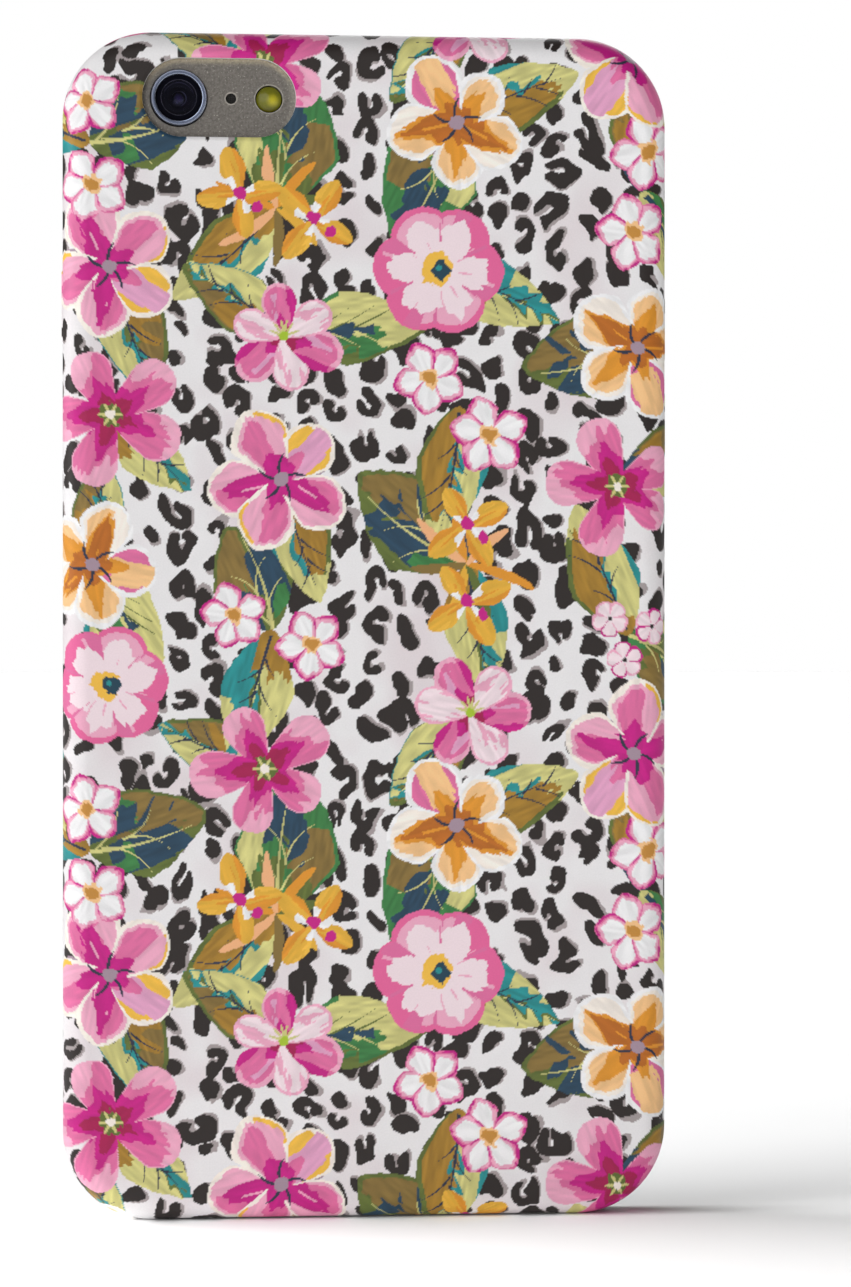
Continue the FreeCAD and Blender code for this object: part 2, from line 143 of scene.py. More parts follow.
def ragged(x, y, layer=0):
    """Edge roughness of dry paint, from -1 to 1."""
    return 1.3 * noise(x, y, 1.3, layer) + 0.7 * noise(x, y, 0.5, layer + 1) - 1


class Sheet:
    """Points of the print and the colour painted on each."""

    def __init__(self, u, v):
        self.u = u
        self.v = v
        self.rgb = np.tile(np.array(INK["ground"]) / 255, (len(u), 1))

    def fill(self, points, colour):
        self.rgb[points] = np.array(INK[colour]) / 255

    def near(self, at, reach):
        """Points within reach of a place in the tile, with their offsets from it."""
        du = (self.u - at[0] + TILE / 2) % TILE - TILE / 2
        points = np.flatnonzero(np.abs(du) < reach)
        dv = (self.v[points] - at[1] + TILE / 2) % TILE - TILE / 2
        close = np.abs(dv) < reach
        points = points[close]
        return points, du[points], dv[close]


class Patch:
    """Points inside one petal or leaf: t runs 0 to 1 from base to tip, w is -1 to 1 across."""

    def __init__(self, sheet, at, aim, length, width, peak=0.6, sharp=2.0, bend=0.0, neck=0.8):
        points, x, y = sheet.near(at, length * 1.15 + width / 2)
        self.seed = int(abs(at[0] * 31 + at[1] * 17 + aim * 3)) % 13
        turn = math.radians(aim)
        along = x * math.cos(turn) + y * math.sin(turn)
        across = y * math.cos(turn) - x * math.sin(turn)
        wobble = 0.045 * ragged(along * 0.7, across * 0.7, self.seed)
        t = along / length
        across = across - bend * length * (t - 0.5) ** 2 + bend * length * 0.25
        w = across / (width / 2)
        past = np.clip((t - peak) / (1 - peak), 0, None)
        before = np.clip(t / peak, 0.001, 1) ** neck
        rim = (past**sharp + np.abs(w / before) ** sharp) ** (1 / sharp) + wobble
        keep = (rim < 1) & (t > 0)
        self.sheet = sheet
        self.length = length
        self.half = width / 2
        self.points = points[keep]
        self.t = t[keep]
        self.w = w[keep]
        self.rim = rim[keep]
        self.along = along[keep]
        self.across = across[keep]
        self.rag = ragged(self.along * 0.5, self.across * 1.5, self.seed + 2)
        slant = self.along - 0.9 * np.abs(self.across) + 3.7 * (self.across > 0)
        self.barb = 2 * noise(slant, self.across * 0.3, 1.2, self.seed + 5) - 1

    def lay(self, mask, colour):
        self.sheet.fill(self.points[mask], colour)

    def flame(self, width, reach, rough=0.22):
        """Inside a ragged tongue of colour that starts at the base."""
        spread = width * (1 - np.clip(self.t / reach, 0, 1) ** 1.7)
        return (np.abs(self.w) + rough * self.rag < spread) & (self.t < reach)

    def line(self, t, w, aim, length, width, colour, bend=0.0):
        """Tapered line from a place in the patch; aim 0 is towards the tip."""
        x = self.along - t * self.length
        y = self.across - w * self.half
        turn = math.radians(aim)
        run = (x * math.cos(turn) + y * math.sin(turn)) / length
        off = y * math.cos(turn) - x * math.sin(turn) - 4 * bend * length * run * (1 - run)
        taper = width / 2 * np.clip(1.1 - run, 0, 1)
        self.lay((run > 0) & (run < 1) & (np.abs(off) < taper + 0.04 * self.rag), colour)

    def veins(self, colour, places, aim=40, width=0.3, reach=0.72):
        """Midrib with pairs of side veins."""
        self.line(0.04, 0, 0, 0.84 * self.length, width * 1.3, colour, 0.02)
        for k, t in enumerate(places):
            for side in (-1, 1):
                size = reach * self.half / math.sin(math.radians(aim)) * (1 - 0.18 * ((k + side) % 3))
                self.line(t + 0.03 * side, 0, side * aim, size, width, colour, -0.07 * side)

    def brush(self, depth):
        """Streaks of slightly lighter and darker paint along the petal or leaf."""
        streak = noise(self.along * 0.4, self.across * 2.0, 0.8, self.seed + 3)
        rgb = self.sheet.rgb[self.points]
        self.sheet.rgb[self.points] = np.clip(rgb * (1 + depth * (streak[:, None] - 0.5)), 0, 1)


def blob(sheet, at, radius, colour, rough=0.18):
    """Ragged round dab."""
    points, x, y = sheet.near(at, radius * 1.6)
    reach = np.hypot(x, y) + radius * rough * ragged(x * 1.4, y * 1.4, int(abs(at[0])) % 9)
    sheet.fill(points[reach < radius], colour)


def stroke(sheet, start, aim, length, width, colour, bend=0.0):
    """Tapered brush stroke."""
    points, x, y = sheet.near(start, length * 1.1 + width)
    turn = math.radians(aim)
    along = (x * math.cos(turn) + y * math.sin(turn)) / length
    across = y * math.cos(turn) - x * math.sin(turn)
    inside = np.clip(along * (1 - along), 0, None)
    across = across - 4 * bend * length * inside
    edge = width / 2 * (4 * inside) ** 0.5 * (1 + 0.25 * ragged(x, y, 5))
    sheet.fill(points[(np.abs(across) < edge) & (inside > 0)], colour)


# ---- leopard ground
SPOT_COLUMNS = 22
SPOT_ROWS = 19


def paint_ground(sheet):
    cloud = noise(sheet.u, sheet.v, 11.0, 1) + 0.5 * noise(sheet.u, sheet.v, 4.0, 2) - 0.72
    mix = np.clip(cloud * 2.0, 0, 1)[:, None]
    sheet.rgb = (1 - mix) * np.array(INK["ground"]) / 255 + mix * np.array(INK["blush"]) / 255


def arc_distance(x, y, radius, opening, thickness):
    """Distance to a thick arc that opens to +x; opening is the cosine of half the arc's angle."""
    away = np.hypot(x, y)
    off_arc = np.hypot(x + radius * opening, np.abs(y) - radius * np.sqrt(1 - opening**2))
    return np.where(-x > away * opening, np.abs(away - radius), off_arc) - thickness


def paint_spots(sheet):
    """One spot in each cell of a warped grid, with a warm grey fringe on one side."""
    random = np.random.default_rng(41)
    shape = (SPOT_COLUMNS, SPOT_ROWS)
    middle_x = random.uniform(-0.19, 0.19, shape)
    middle_y = random.uniform(-0.19, 0.19, shape) + 0.5 * (np.arange(SPOT_COLUMNS)[:, None] % 2)
    turn = random.uniform(0, 2 * math.pi, shape)
    size = random.choice([0.78, 0.92, 1.0, 1.06], shape)
    hooked = random.random(shape) < 0.55
    radius = size * np.where(hooked, random.uniform(1.04, 1.28, shape), random.uniform(0.4, 0.9, shape))
    opening = np.where(hooked, random.uniform(-0.72, -0.25, shape), random.uniform(0.0, 0.7, shape))
    thickness = size * np.where(hooked, random.uniform(0.72, 0.86, shape), random.uniform(0.95, 1.10, shape))
    stretch = random.uniform(1.0, 1.4, shape)
    fringe_aim = random.normal(0.2, 0.9, shape)
    fringe = random.uniform(0.35, 0.65, shape)
    step_u, step_v = TILE / SPOT_COLUMNS, TILE / SPOT_ROWS
    grid_u = sheet.u + 3.0 * noise(sheet.u, sheet.v, 8.0, 4) + 1.3 * noise(sheet.u, sheet.v, 2.0, 12)
    grid_v = sheet.v + 3.0 * noise(sheet.u, sheet.v, 8.0, 9) + 1.3 * noise(sheet.u, sheet.v, 2.0, 13)
    column = np.floor(grid_u / step_u).astype(int)
    row = np.floor(grid_v / step_v).astype(int)
    rough = 0.19 * ragged(sheet.u * 1.1, sheet.v * 1.1, 6)
    black = np.full(len(sheet.u), 9.0)
    grey = np.full(len(sheet.u), 9.0)
    for i in (-1, 0, 1):
        for j in (-2, -1, 0, 1):
            a, b = (column + i) % SPOT_COLUMNS, (row + j) % SPOT_ROWS
            x = grid_u - (column + i + 0.5 + middle_x[a, b]) * step_u
            y = (grid_v - (row + j + 0.5 + middle_y[a, b]) * step_v) / stretch[a, b]
            c, s = np.cos(turn[a, b]), np.sin(turn[a, b])
            arc = (radius[a, b], opening[a, b], thickness[a, b])
            black = np.minimum(black, arc_distance(c * x + s * y, c * y - s * x, *arc))
            x = x - fringe[a, b] * np.cos(fringe_aim[a, b])
            y = y - fringe[a, b] * np.sin(fringe_aim[a, b])
            grey = np.minimum(grey, arc_distance(c * x + s * y, c * y - s * x, *arc))
    sheet.fill(grey + rough < -0.08, "shade")
    sheet.fill(black + rough < 0, "spot")


# ---- petals: each recipe lays its colours from the rim inwards
def rose_petal(p):
    p.lay(p.rim > -1, "cream")
    p.lay(p.rim + 0.12 * p.rag < 0.84, "light_pink")
    p.lay((p.rim + 0.14 * p.rag < 0.70) & (p.w + 0.3 * p.rag > -0.1), "pink")
    p.lay(p.flame(0.48, 0.84), "magenta")
    slit = (np.abs(p.w - 0.10) < 0.035) & (p.t > 0.25) & (p.t < 0.55) & (p.rag > 0)
    p.lay(slit, "light_pink")


def flushed_petal(p):
    """Pink with a short flame and a yellow edge on one side."""
    p.lay(p.rim > -1, "cream")
    p.lay((p.rim < 0.92) & (p.w < -0.18) & (p.t > 0.45) & (p.rag > -0.5), "yellow")
    p.lay(p.rim + 0.12 * p.rag < 0.80, "light_pink")
    p.lay((p.rim + 0.16 * p.rag < 0.66) & (p.w + 0.2 * p.rag > -0.15), "pink")
    p.lay(p.flame(0.52, 0.46), "magenta")


def lilac_petal(p):
    """Yellow sides and a lilac middle."""
    p.lay(p.rim > -1, "cream")
    p.lay(p.rim + 0.12 * p.rag < 0.86, "yellow")
    p.lay((np.abs(p.w + 0.05) + 0.18 * p.rag < 0.40 + 0.1 * p.t) & (p.rim < 0.90), "lilac")
    p.lay(p.flame(0.44, 0.50), "pink")
    p.lay(p.flame(0.44, 0.28), "magenta")


def gold_petal(p):
    p.lay(p.rim > -1, "white")
    p.lay(p.rim + 0.10 * p.rag < 0.84, "cream")
    p.lay(p.rim + 0.14 * p.rag < 0.68, "peach")
    p.lay(p.flame(0.52, 0.84), "orange")
    p.lay(p.flame(0.46, 0.34), "brown_orange")


def bronze_petal(p):
    p.lay(p.rim > -1, "white")
    p.lay(p.rim + 0.10 * p.rag < 0.86, "cream")
    p.lay((p.rim + 0.12 * p.rag < 0.72) & (p.w + 0.2 * p.rag > -0.1), "peach")
    p.lay(p.flame(0.56, 0.88), "orange")
    p.lay(p.flame(0.46, 0.80), "brown_orange")
    p.lay((np.abs(p.w) < 0.05) & (p.rag > 0.1) & (p.t < 0.5), "orange")


def sunset_petal(p):
    """Pink outside and peach inside, with a short orange flame."""
    p.lay(p.rim > -1, "white")
    p.lay(p.rim + 0.06 * p.rag < 0.80, "pink")
    p.lay((np.abs(p.w + 0.1) + 0.2 * p.rag < 0.44) & (p.rim < 0.90) & (p.t > 0.3), "peach")
    p.lay(p.flame(0.44, 0.55), "orange")
    p.lay(p.flame(0.40, 0.30), "brown_orange")


def hibiscus_petal(p):
    p.lay(p.rim > -1, "light_pink")
    p.lay((p.t + 0.22 * p.rag + 0.25 * p.w < 0.74) & (p.rim < 0.94), "pink")
    p.lay(p.flame(0.72, 0.66, 0.30), "magenta")
    p.lay(p.flame(0.46, 0.44, 0.30), "crimson")


def small_petal(p):
    p.lay(p.rim > -1, "pink")
    p.lay((p.rim > 0.82) & (p.rag > 0.1), "magenta")
    p.lay(p.rim + 0.24 * p.rag < 0.82, "light_pink")
    p.lay(p.rim + 0.26 * p.rag < 0.64, "white")


def mini_petal(p):
    p.lay(p.rim > -1, "magenta" if p.seed % 3 == 0 else "light_pink")
    p.lay(p.rim + 0.2 * p.rag < 0.74, "pale")


def orchid_petal(p):
    p.lay(p.rim > -1, "gold")
    p.lay((p.w + 0.25 * p.rag < -0.35) | (p.flame(0.25, 0.8) & (p.rag > 0)), "orange")
    p.lay((p.w > 0.45) & (p.t > 0.3) & (p.rag > 0.2), "yellow")
    p.lay((p.t + 0.12 * p.rag < 0.34) & (p.w > 0.1), "white")


def magnolia_petal(p):
    p.lay(p.rim > -1, "pink")
    p.lay((p.rim + 0.12 * p.rag > 0.80) & (p.t > 0.35) & (p.w > -0.5), "light_pink")
    p.lay((p.w < -0.55 + 0.2 * p.rag) & (p.t < 0.85), "magenta")
    p.lay((np.abs(p.w - 0.25) + 0.3 * p.rag < 0.16) & (p.t > 0.3) & (p.t < 0.8), "lilac")
    p.lay(p.flame(0.50, 0.50), "magenta")
    p.lay(p.t + 0.14 * p.rag < 0.22, "crimson")


def pale_petal(p):
    p.lay(p.rim > -1, "light_pink")
    p.lay(p.rim + 0.10 * p.rag < 0.84, "pale")
    p.lay((p.rag > 0.25) & (p.rim < 0.8), "light_pink")


# ---- leaves: w > 0 is the left half for someone looking from base to tip
def lime_leaf(p):
    p.lay(p.rim > -1, "moss")
    p.lay((p.w < -0.08 + 0.2 * p.barb) & (p.rim < 0.9), "olive")
    p.lay((p.t + 0.2 * p.barb < 0.5) & (p.w < 0.25) & (p.rim < 0.85), "ochre")
    p.lay((p.w > 0.3 * p.barb) & (p.t > 0.42), "teal")
    p.lay((p.w > 0.14 + 0.26 * p.barb) & (p.rim < 0.97), "lime")
    p.lay((p.t + 0.15 * p.rag < 0.16) & (p.w < 0.5), "navy")
    p.veins("ink_line", (0.26, 0.46, 0.64))


def ochre_leaf(p):
    p.lay(p.rim > -1, "ochre")
    p.lay((p.rim > 0.86) & (p.w < 0), "moss")
    p.lay((p.w > 0.08 + 0.2 * p.barb) & (p.t > 0.25), "teal")
    p.lay((p.w > 0.26 + 0.24 * p.barb) | (p.t > 0.78 + 0.12 * p.rag), "lime")
    p.lay((p.w > 0.80) & (p.t > 0.2), "teal")
    p.veins("ink_line", (0.30, 0.52, 0.68), 42)


def river_leaf(p):
    """Long leaf, lime above a navy seam and green below, with a lime tip."""
    p.lay(p.rim > -1, "lime")
    p.lay((p.w < -0.12 + 0.2 * p.barb) & (p.t < 0.66 + 0.1 * p.rag), "green")
    p.lay((p.w < -0.45) & (p.rag > 0.0) & (p.t < 0.5), "moss")
    p.lay((np.abs(p.w + 0.08) < 0.13 + 0.1 * p.barb) & (p.t > 0.05) & (p.t < 0.62), "navy")
    p.lay((p.rim > 0.92) & (p.w < 0), "moss")
    p.lay((p.rim > 0.86) & (p.w > 0) & (p.t < 0.4), "green")
    for t in (0.15, 0.32, 0.48):
        p.line(t, 0.0, 24, 0.36 * p.length, 0.25, "moss", -0.03)
        p.line(t, -0.1, -30, 0.22 * p.length, 0.28, "lime", 0.03)


def night_leaf(p):
    """Broad dark leaf, olive on the right, with navy brush marks and pale curved veins."""
    p.lay(p.rim > -1, "moss")
    p.lay((p.w + 0.2 * p.rag < 0.16) & (p.t + 0.16 * p.rag > 0.34) & (p.rim < 0.93), "olive")
    p.lay((p.w < -0.30 + 0.2 * p.barb) & (p.t + 0.2 * p.rag < 0.42), "green")
    inside = (p.w > 0.02 + 0.18 * p.barb) & (p.w < 0.74 + 0.1 * p.rag)
    p.lay(inside & (p.t + 0.16 * p.barb < 0.72) & (p.t > 0.14), "navy")
    p.lay((p.w < -0.14) & (p.w > -0.52 + 0.3 * p.barb) & (p.t + 0.3 * p.barb < 0.52), "navy")
    p.lay((p.w > 0.30 + 0.3 * p.barb) & (p.w < 0.7) & (p.t < 0.34), "green")
    p.line(0.0, 0, 5, 0.86 * p.length, 0.55, "lime", 0.05)
    side_veins = [(1, 0.10, 46, 0.46), (1, 0.34, 36, 0.34), (-1, 0.05, 50, 0.50), (-1, 0.28, 30, 0.36)]
    for side, t, aim, size in side_veins:
        p.line(t, 0, side * aim, size * p.length, 0.32, "lime", -0.14 * side)


def dusk_leaf(p):
    """Night leaf with a lime shoulder and an olive lower half."""
    p.lay(p.rim > -1, "green")
    p.lay((p.w > 0.10 + 0.2 * p.barb) & (p.rim < 0.92) & (p.t < 0.62), "olive")
    p.lay((p.w > 0.05 + 0.2 * p.barb) & (p.t + 0.1 * p.rag < 0.22), "moss")
    p.lay((p.w < -0.52 + 0.1 * p.rag) & (p.t < 0.55) & (p.rim < 0.95), "lime")
    inside = (np.abs(p.w + 0.12) < 0.42 + 0.12 * p.barb) & (p.rim < 0.9)
    p.lay(inside & (p.t + 0.2 * p.barb > 0.40), "navy")
    p.lay(inside & (p.w < 0.0) & (p.t > 0.12) & (p.t < 0.44 + 0.2 * p.barb), "moss")
    p.line(0.0, 0, -3, 0.84 * p.length, 0.5, "lime", -0.04)
    for side, t in ((1, 0.16), (-1, 0.10), (1, 0.40), (-1, 0.34)):
        p.line(t, 0, side * 36, 0.32 * p.length, 0.3, "lime", -0.12 * side)


def teal_leaf(p):
    p.lay(p.rim > -1, "moss")
    p.lay(p.w > 0.25 * p.barb, "teal")
    p.lay((p.w > 0.45 + 0.2 * p.barb) & (p.t > 0.55), "lime")
    p.lay((p.w < -0.1 + 0.26 * p.barb) & (p.t > 0.25), "lime")
    p.lay((p.t + 0.12 * p.rag < 0.34) & (p.w < 0.3), "ochre")
    p.veins("ink_line", (0.24, 0.42, 0.60), 44)


def flower(sheet, at, petals, recipe, peak=0.62, sharp=2.0, neck=0.8):
    """Petals are (aim, length, width) with an optional recipe of their own."""
    for aim, length, width, *own in petals:
        p = Patch(sheet, at, aim, length, width, peak, sharp, 0.0, neck)
        (own[0] if own else recipe)(p)
        p.brush(0.10)


def leaf(sheet, base, aim, length, width, recipe, bend=0.0, flip=False):
    p = Patch(sheet, base, aim, length, width, 0.40, 1.38, bend, 0.6)
    if flip:
        p.w = -p.w
        p.across = -p.across
    recipe(p)
    p.brush(0.20)


def plumeria(sheet, at, petals, recipe):
    for aim, length, *_ in petals:
        stroke(sheet, at, aim + 45, length * 0.62, 1.5, "mauve")
    flower(sheet, at, petals, recipe, 0.58, 1.72, 0.62)
    for aim, length, *_ in petals:
        stroke(sheet, at, aim + 38, 3.4, 0.4, "ink_line", 0.14)
    blob(sheet, at, 0.95, "mauve", 0.3)


def small_flower(sheet, at, radius, aims):
    flower(sheet, at, [(aim, radius * 1.06, radius * 0.88) for aim in aims], small_petal, 0.56, 1.45, 0.6)
    blob(sheet, at, radius * 0.26, "peach", 0.5)
    blob(sheet, at, radius * 0.18, "tan", 0.6)


def hibiscus(sheet, at, petals):
    flower(sheet, at, petals, hibiscus_petal, 0.66, 2.3, 0.55)
    blob(sheet, at, 1.5, "moss", 0.5)
    for aim in range(0, 360, 60):
        stroke(sheet, at, aim, 1.7, 0.4, "lime")
    blob(sheet, at, 0.6, "cream", 0.5)


def round_blossom(sheet, at, radius, start):
    """Six lobes with a pink rim round a pale star, and a yellow and navy eye."""
    points, x, y = sheet.near(at, radius * 1.1)
    away, angle = np.hypot(x, y) / radius, np.degrees(np.arctan2(y, x)) - start
    lobe = np.abs(np.cos(np.radians(angle) * 3))
    seam = np.abs((angle / 60) % 1 - 0.5)
    rays = ragged(angle * 0.14, away * 2.2, 3)
    edge = 0.84 + 0.14 * lobe**0.7 + 0.02 * rays
    sheet.fill(points[away < edge], "rose")
    sheet.fill(points[(away + 0.04 * rays < edge - 0.10) & (angle % 180 < 110)], "light_pink")
    sheet.fill(points[(away < edge - 0.03) & (angle % 90 < 16)], "pink")
    sheet.fill(points[away + 0.15 * rays < 0.52 + 0.24 * lobe], "pale")
    fold = (seam < 0.035) & (away > 0.42) & (away < 0.80) & (rays > -0.3)
    sheet.fill(points[fold], "pink")
    flush = (away > 0.3) & (away < 0.7) & (rays > 0.62)
    sheet.fill(points[flush], "light_pink")
    u, v = at
    blob(sheet, (u - 0.3, v), radius * 0.24, "yellow", 0.3)
    blob(sheet, (u + 0.5, v - 0.1), radius * 0.15, "eye", 0.4)
    blob(sheet, (u + 0.1, v + 0.2), radius * 0.045, "teal", 0.4)


def orchid(sheet, at, petals):
    flower(sheet, at, petals, orchid_petal, 0.5, 1.8, 0.7)
    u, v = at
    blob(sheet, (u, v + 0.3), 0.9, "magenta", 0.4)
    blob(sheet, (u + 2.2, v - 1.6), 0.8, "magenta", 0.5)


def magnolia(sheet, at, petals):
    flower(sheet, at, petals, magnolia_petal, 0.6, 2.1, 0.6)
    for aim in (55, 80, 100, 130, 20, 160):
        stroke(sheet, at, aim, 2.2, 0.34, "lime")
    blob(sheet, at, 0.6, "bright_lime", 0.4)


def mini_flower(sheet, at, radius, turn):
    petals = [(turn + 72 * k, radius, radius * 0.95) for k in range(5)]
    flower(sheet, at, petals, mini_petal, 0.62, 2.4)
    blob(sheet, at, 0.3, "spot")


def spread_petals(random, count, radius, breadth, recipes):
    """Petals at even angles, with the unevenness of a drawing by hand."""
    start = random.uniform(0, 360)
    made = []
    for k in range(count):
        length = radius * random.uniform(0.90, 1.10)
        aim = start + 360 * k / count + random.uniform(-8, 8)
        made.append((aim, length, breadth * length, recipes[k % len(recipes)]))
    return made


def rose_plumeria(sheet, at, random):
    kinds = [rose_petal, flushed_petal, rose_petal, lilac_petal, flushed_petal]
    plumeria(sheet, at, spread_petals(random, 5, 9.8, 0.80, kinds), rose_petal)


def gold_plumeria(sheet, at, random):
    kinds = [gold_petal, bronze_petal, gold_petal, sunset_petal, bronze_petal]
    plumeria(sheet, at, spread_petals(random, 5, 9.2, 0.82, kinds), gold_petal)


def pink_hibiscus(sheet, at, random):
    hibiscus(sheet, at, spread_petals(random, 5, 9.2, 0.64, [hibiscus_petal]))


def two_tone_magnolia(sheet, at, random):
    magnolia(sheet, at, spread_petals(random, 6, 7.8, 0.66, [magnolia_petal, pale_petal]))


def blossom(sheet, at, random):
    round_blossom(sheet, at, random.uniform(8.2, 9.4), random.uniform(0, 60))


def small_blossoms(sheet, at, random):
    """Two small flowers side by side."""
    aim = random.uniform(0, 2 * math.pi)
    for way in (-1, 1):
        place = (at[0] + 5.6 * way * math.cos(aim), at[1] + 5.6 * way * math.sin(aim))
        aims = [72 * k + random.uniform(-9, 9) + 30 * way for k in range(5)]
        small_flower(sheet, place, random.uniform(4.4, 5.4), aims)


def orchid_branch(sheet, at, random):
    """Two orchids and a sprig between them."""
    aim = random.uniform(0, 360)
    for k in range(7):
        colour = ("orange", "apricot", "olive", "gold", "moss")[k % 5]
        stroke(sheet, at, aim + 51 * k + random.uniform(-10, 10), random.uniform(7, 11), 1.4, colour, 0.05)
    for way in (-1, 1):
        turn = math.radians(aim)
        place = (at[0] + 5.2 * way * math.cos(turn), at[1] + 5.2 * way * math.sin(turn))
        orchid(sheet, place, spread_petals(random, 4, 6.2, 0.52, [orchid_petal]))


def mini_cluster(sheet, at, random):
    for k in range(3):
        turn = math.radians(120 * k + 20)
        mini_flower(sheet, (at[0] + 3.4 * math.cos(turn), at[1] + 3.4 * math.sin(turn)), 2.5, 50 * k)


# Flowers by column of the half-drop layout, from the bottom up; each column has as many.
BEDS = [
    [rose_plumeria, small_blossoms, blossom, gold_plumeria, pink_hibiscus],
    [orchid_branch, pink_hibiscus, small_blossoms, rose_plumeria, two_tone_magnolia],
    [blossom, gold_plumeria, two_tone_magnolia, orchid_branch, small_blossoms],
    [small_blossoms, rose_plumeria, mini_cluster, pink_hibiscus, gold_plumeria],
]
LEAF_KINDS = [lime_leaf, night_leaf, ochre_leaf, river_leaf, teal_leaf, dusk_leaf]


def flower_beds():
    """Each flower with its place: columns side by side, every second one dropped by half a step."""
    random = np.random.default_rng(23)
    step_u, step_v = TILE / len(BEDS), TILE / len(BEDS[0])
    beds = []
    for column, kinds in enumerate(BEDS):
        for row, kind in enumerate(kinds):
            u = (column + 0.5 + random.uniform(-0.10, 0.10)) * step_u - TILE / 2
            v = (row + 0.5 * (column % 2) + random.uniform(-0.12, 0.12)) * step_v - TILE / 2
            beds.append((kind, (u, v)))
    return beds


def paint_leaves(sheet, beds):
    """One or two leaves spread from under each flower."""
    random = np.random.default_rng(5)
    for number, (_, at) in enumerate(beds):
        aim = random.uniform(0, 360)
        for k in range(1 + number % 2):
            recipe = LEAF_KINDS[(number + 3 * k) % len(LEAF_KINDS)]
            length = random.uniform(14.5, 20)
            broad = 0.74 if recipe in (night_leaf, dusk_leaf) else 0.52
            bend = random.uniform(-0.08, 0.08)
            leaf(sheet, at, aim + 140 * k, length, broad * length, recipe, bend, random.random() < 0.5)


def paint_flowers(sheet, beds):
    random = np.random.default_rng(8)
    for kind, at in beds:
        kind(sheet, at, random)


def paint_print(u, v):
    """Colours, as sRGB from 0 to 1, of the print at places u, v in millimetres."""
    sheet = Sheet(u, v)
    beds = flower_beds()
    paint_ground(sheet)
    paint_spots(sheet)
    paint_leaves(sheet, beds)
    paint_flowers(sheet, beds)
    return sheet.rgb


# ------------------------------------------------------------------- printed film
SPINE_X = CASE_SIDE - CORNER
SPINE_Z = CASE_END - CORNER
FLAT = CORNER - BACK_EDGE
ARC = BACK_EDGE * math.pi / 2


def film_profile():
    """Outward distance, depth and unrolled distance of points from the flat to the film's end."""
    total = FLAT + ARC + FILM_END - BACK_EDGE
    run = np.linspace(0, total, round(total / STEP) + 1)[1:]
    turn = np.clip(run - FLAT, 0, ARC) / BACK_EDGE
    outward = np.minimum(run, FLAT) + BACK_EDGE * np.sin(turn)
    depth = BACK_EDGE * (1 - np.cos(turn)) + np.clip(run - FLAT - ARC, 0, None)
    return outward, depth, run


def perimeter(columns, rows):
    """Grid index and outward direction of each point round the middle rectangle."""
    fan = max(6, round(CORNER * math.pi / 2 / STEP / 1.25))
    sides = [
        ([(i, 0) for i in range(columns)], -90),
        ([(columns, j) for j in range(rows)], 0),
        ([(columns - i, rows) for i in range(columns)], 90),
        ([(0, rows - j) for j in range(rows)], 180),
    ]
    places, angles = [], []
    for side, angle in sides:
        places += side
        angles += [angle] * len(side)
        following = sides[(sides.index((side, angle)) + 1) % 4][0][0]
        places += [following] * fan
        angles += [angle + 90 * k / fan for k in range(fan)]
    angles = np.radians(angles)
    return np.array(places), np.stack([np.cos(angles), np.sin(angles)], 1)


def film_grid():
    """Vertices, their unrolled places, and faces of the whole outer surface of the film."""
    columns, rows = round(2 * SPINE_X / STEP), round(2 * SPINE_Z / STEP)
    x = np.linspace(-SPINE_X, SPINE_X, columns + 1)
    z = np.linspace(-SPINE_Z, SPINE_Z, rows + 1)
    grid_x, grid_z = np.meshgrid(x, z, indexing="ij")
    index = np.arange(grid_x.size).reshape(grid_x.shape)
    flat = np.stack([grid_x.ravel(), np.zeros(grid_x.size), grid_z.ravel()], 1)
    places, aims = perimeter(columns, rows)
    outward, depth, run = film_profile()
    foot = np.stack([x[places[:, 0]], z[places[:, 1]]], 1)
    ring = foot[None] + outward[:, None, None] * aims[None]
    unrolled = foot[None] + run[:, None, None] * aims[None]
    level = np.broadcast_to(depth[:, None], ring.shape[:2])
    swept = np.stack([ring[:, :, 0], level, ring[:, :, 1]], 2).reshape(-1, 3)
    points = np.concatenate([flat, swept])
    places_uv = np.concatenate([flat[:, [0, 2]], unrolled.reshape(-1, 2)])

    middle = [index[:-1, :-1], index[1:, :-1], index[1:, 1:], index[:-1, 1:]]
    faces = [np.stack([corner.ravel() for corner in middle], 1)]
    count = len(places)
    inner = index[places[:, 0], places[:, 1]]
    for k in range(len(run)):
        outer = len(flat) + k * count + np.arange(count)
        faces.append(np.stack([outer, np.roll(outer, -1), np.roll(inner, -1), inner], 1))
        inner = outer
    return points, places_uv, np.concatenate(faces)


def pill_distance(a, b, length, width):
    """Distance outside a pill whose long axis is a."""
    beyond = np.clip(np.abs(a) - (length - width) / 2, 0, None)
    return np.hypot(beyond, b) - width / 2


def window_distance(points):
    x, z, length, width = WINDOW
    grow = 2 * WINDOW_BEVEL
    return pill_distance(points[:, 0] - x, points[:, 2] - z, length + grow, width + grow)


def slot_distance(points, side, z, length, width):
    away = pill_distance(points[:, 2] - z, points[:, 1] - KEY_Y, length, width)
    return np.where(points[:, 0] * side > CASE_SIDE - 1, away, 9.0)


def opening_distance(points):
    """Distance outside the opening in the lower edge, which runs out at the front."""
    a = np.abs(points[:, 0]) - OPENING_HALF + OPENING_CORNER
    b = OPENING_BACK + OPENING_CORNER - points[:, 1]
    corner = np.hypot(np.clip(a, 0, None), np.clip(b, 0, None)) + np.minimum(np.maximum(a, b), 0)
    return np.where(points[:, 2] < -CASE_END + BACK_EDGE, corner - OPENING_CORNER, 9.0)


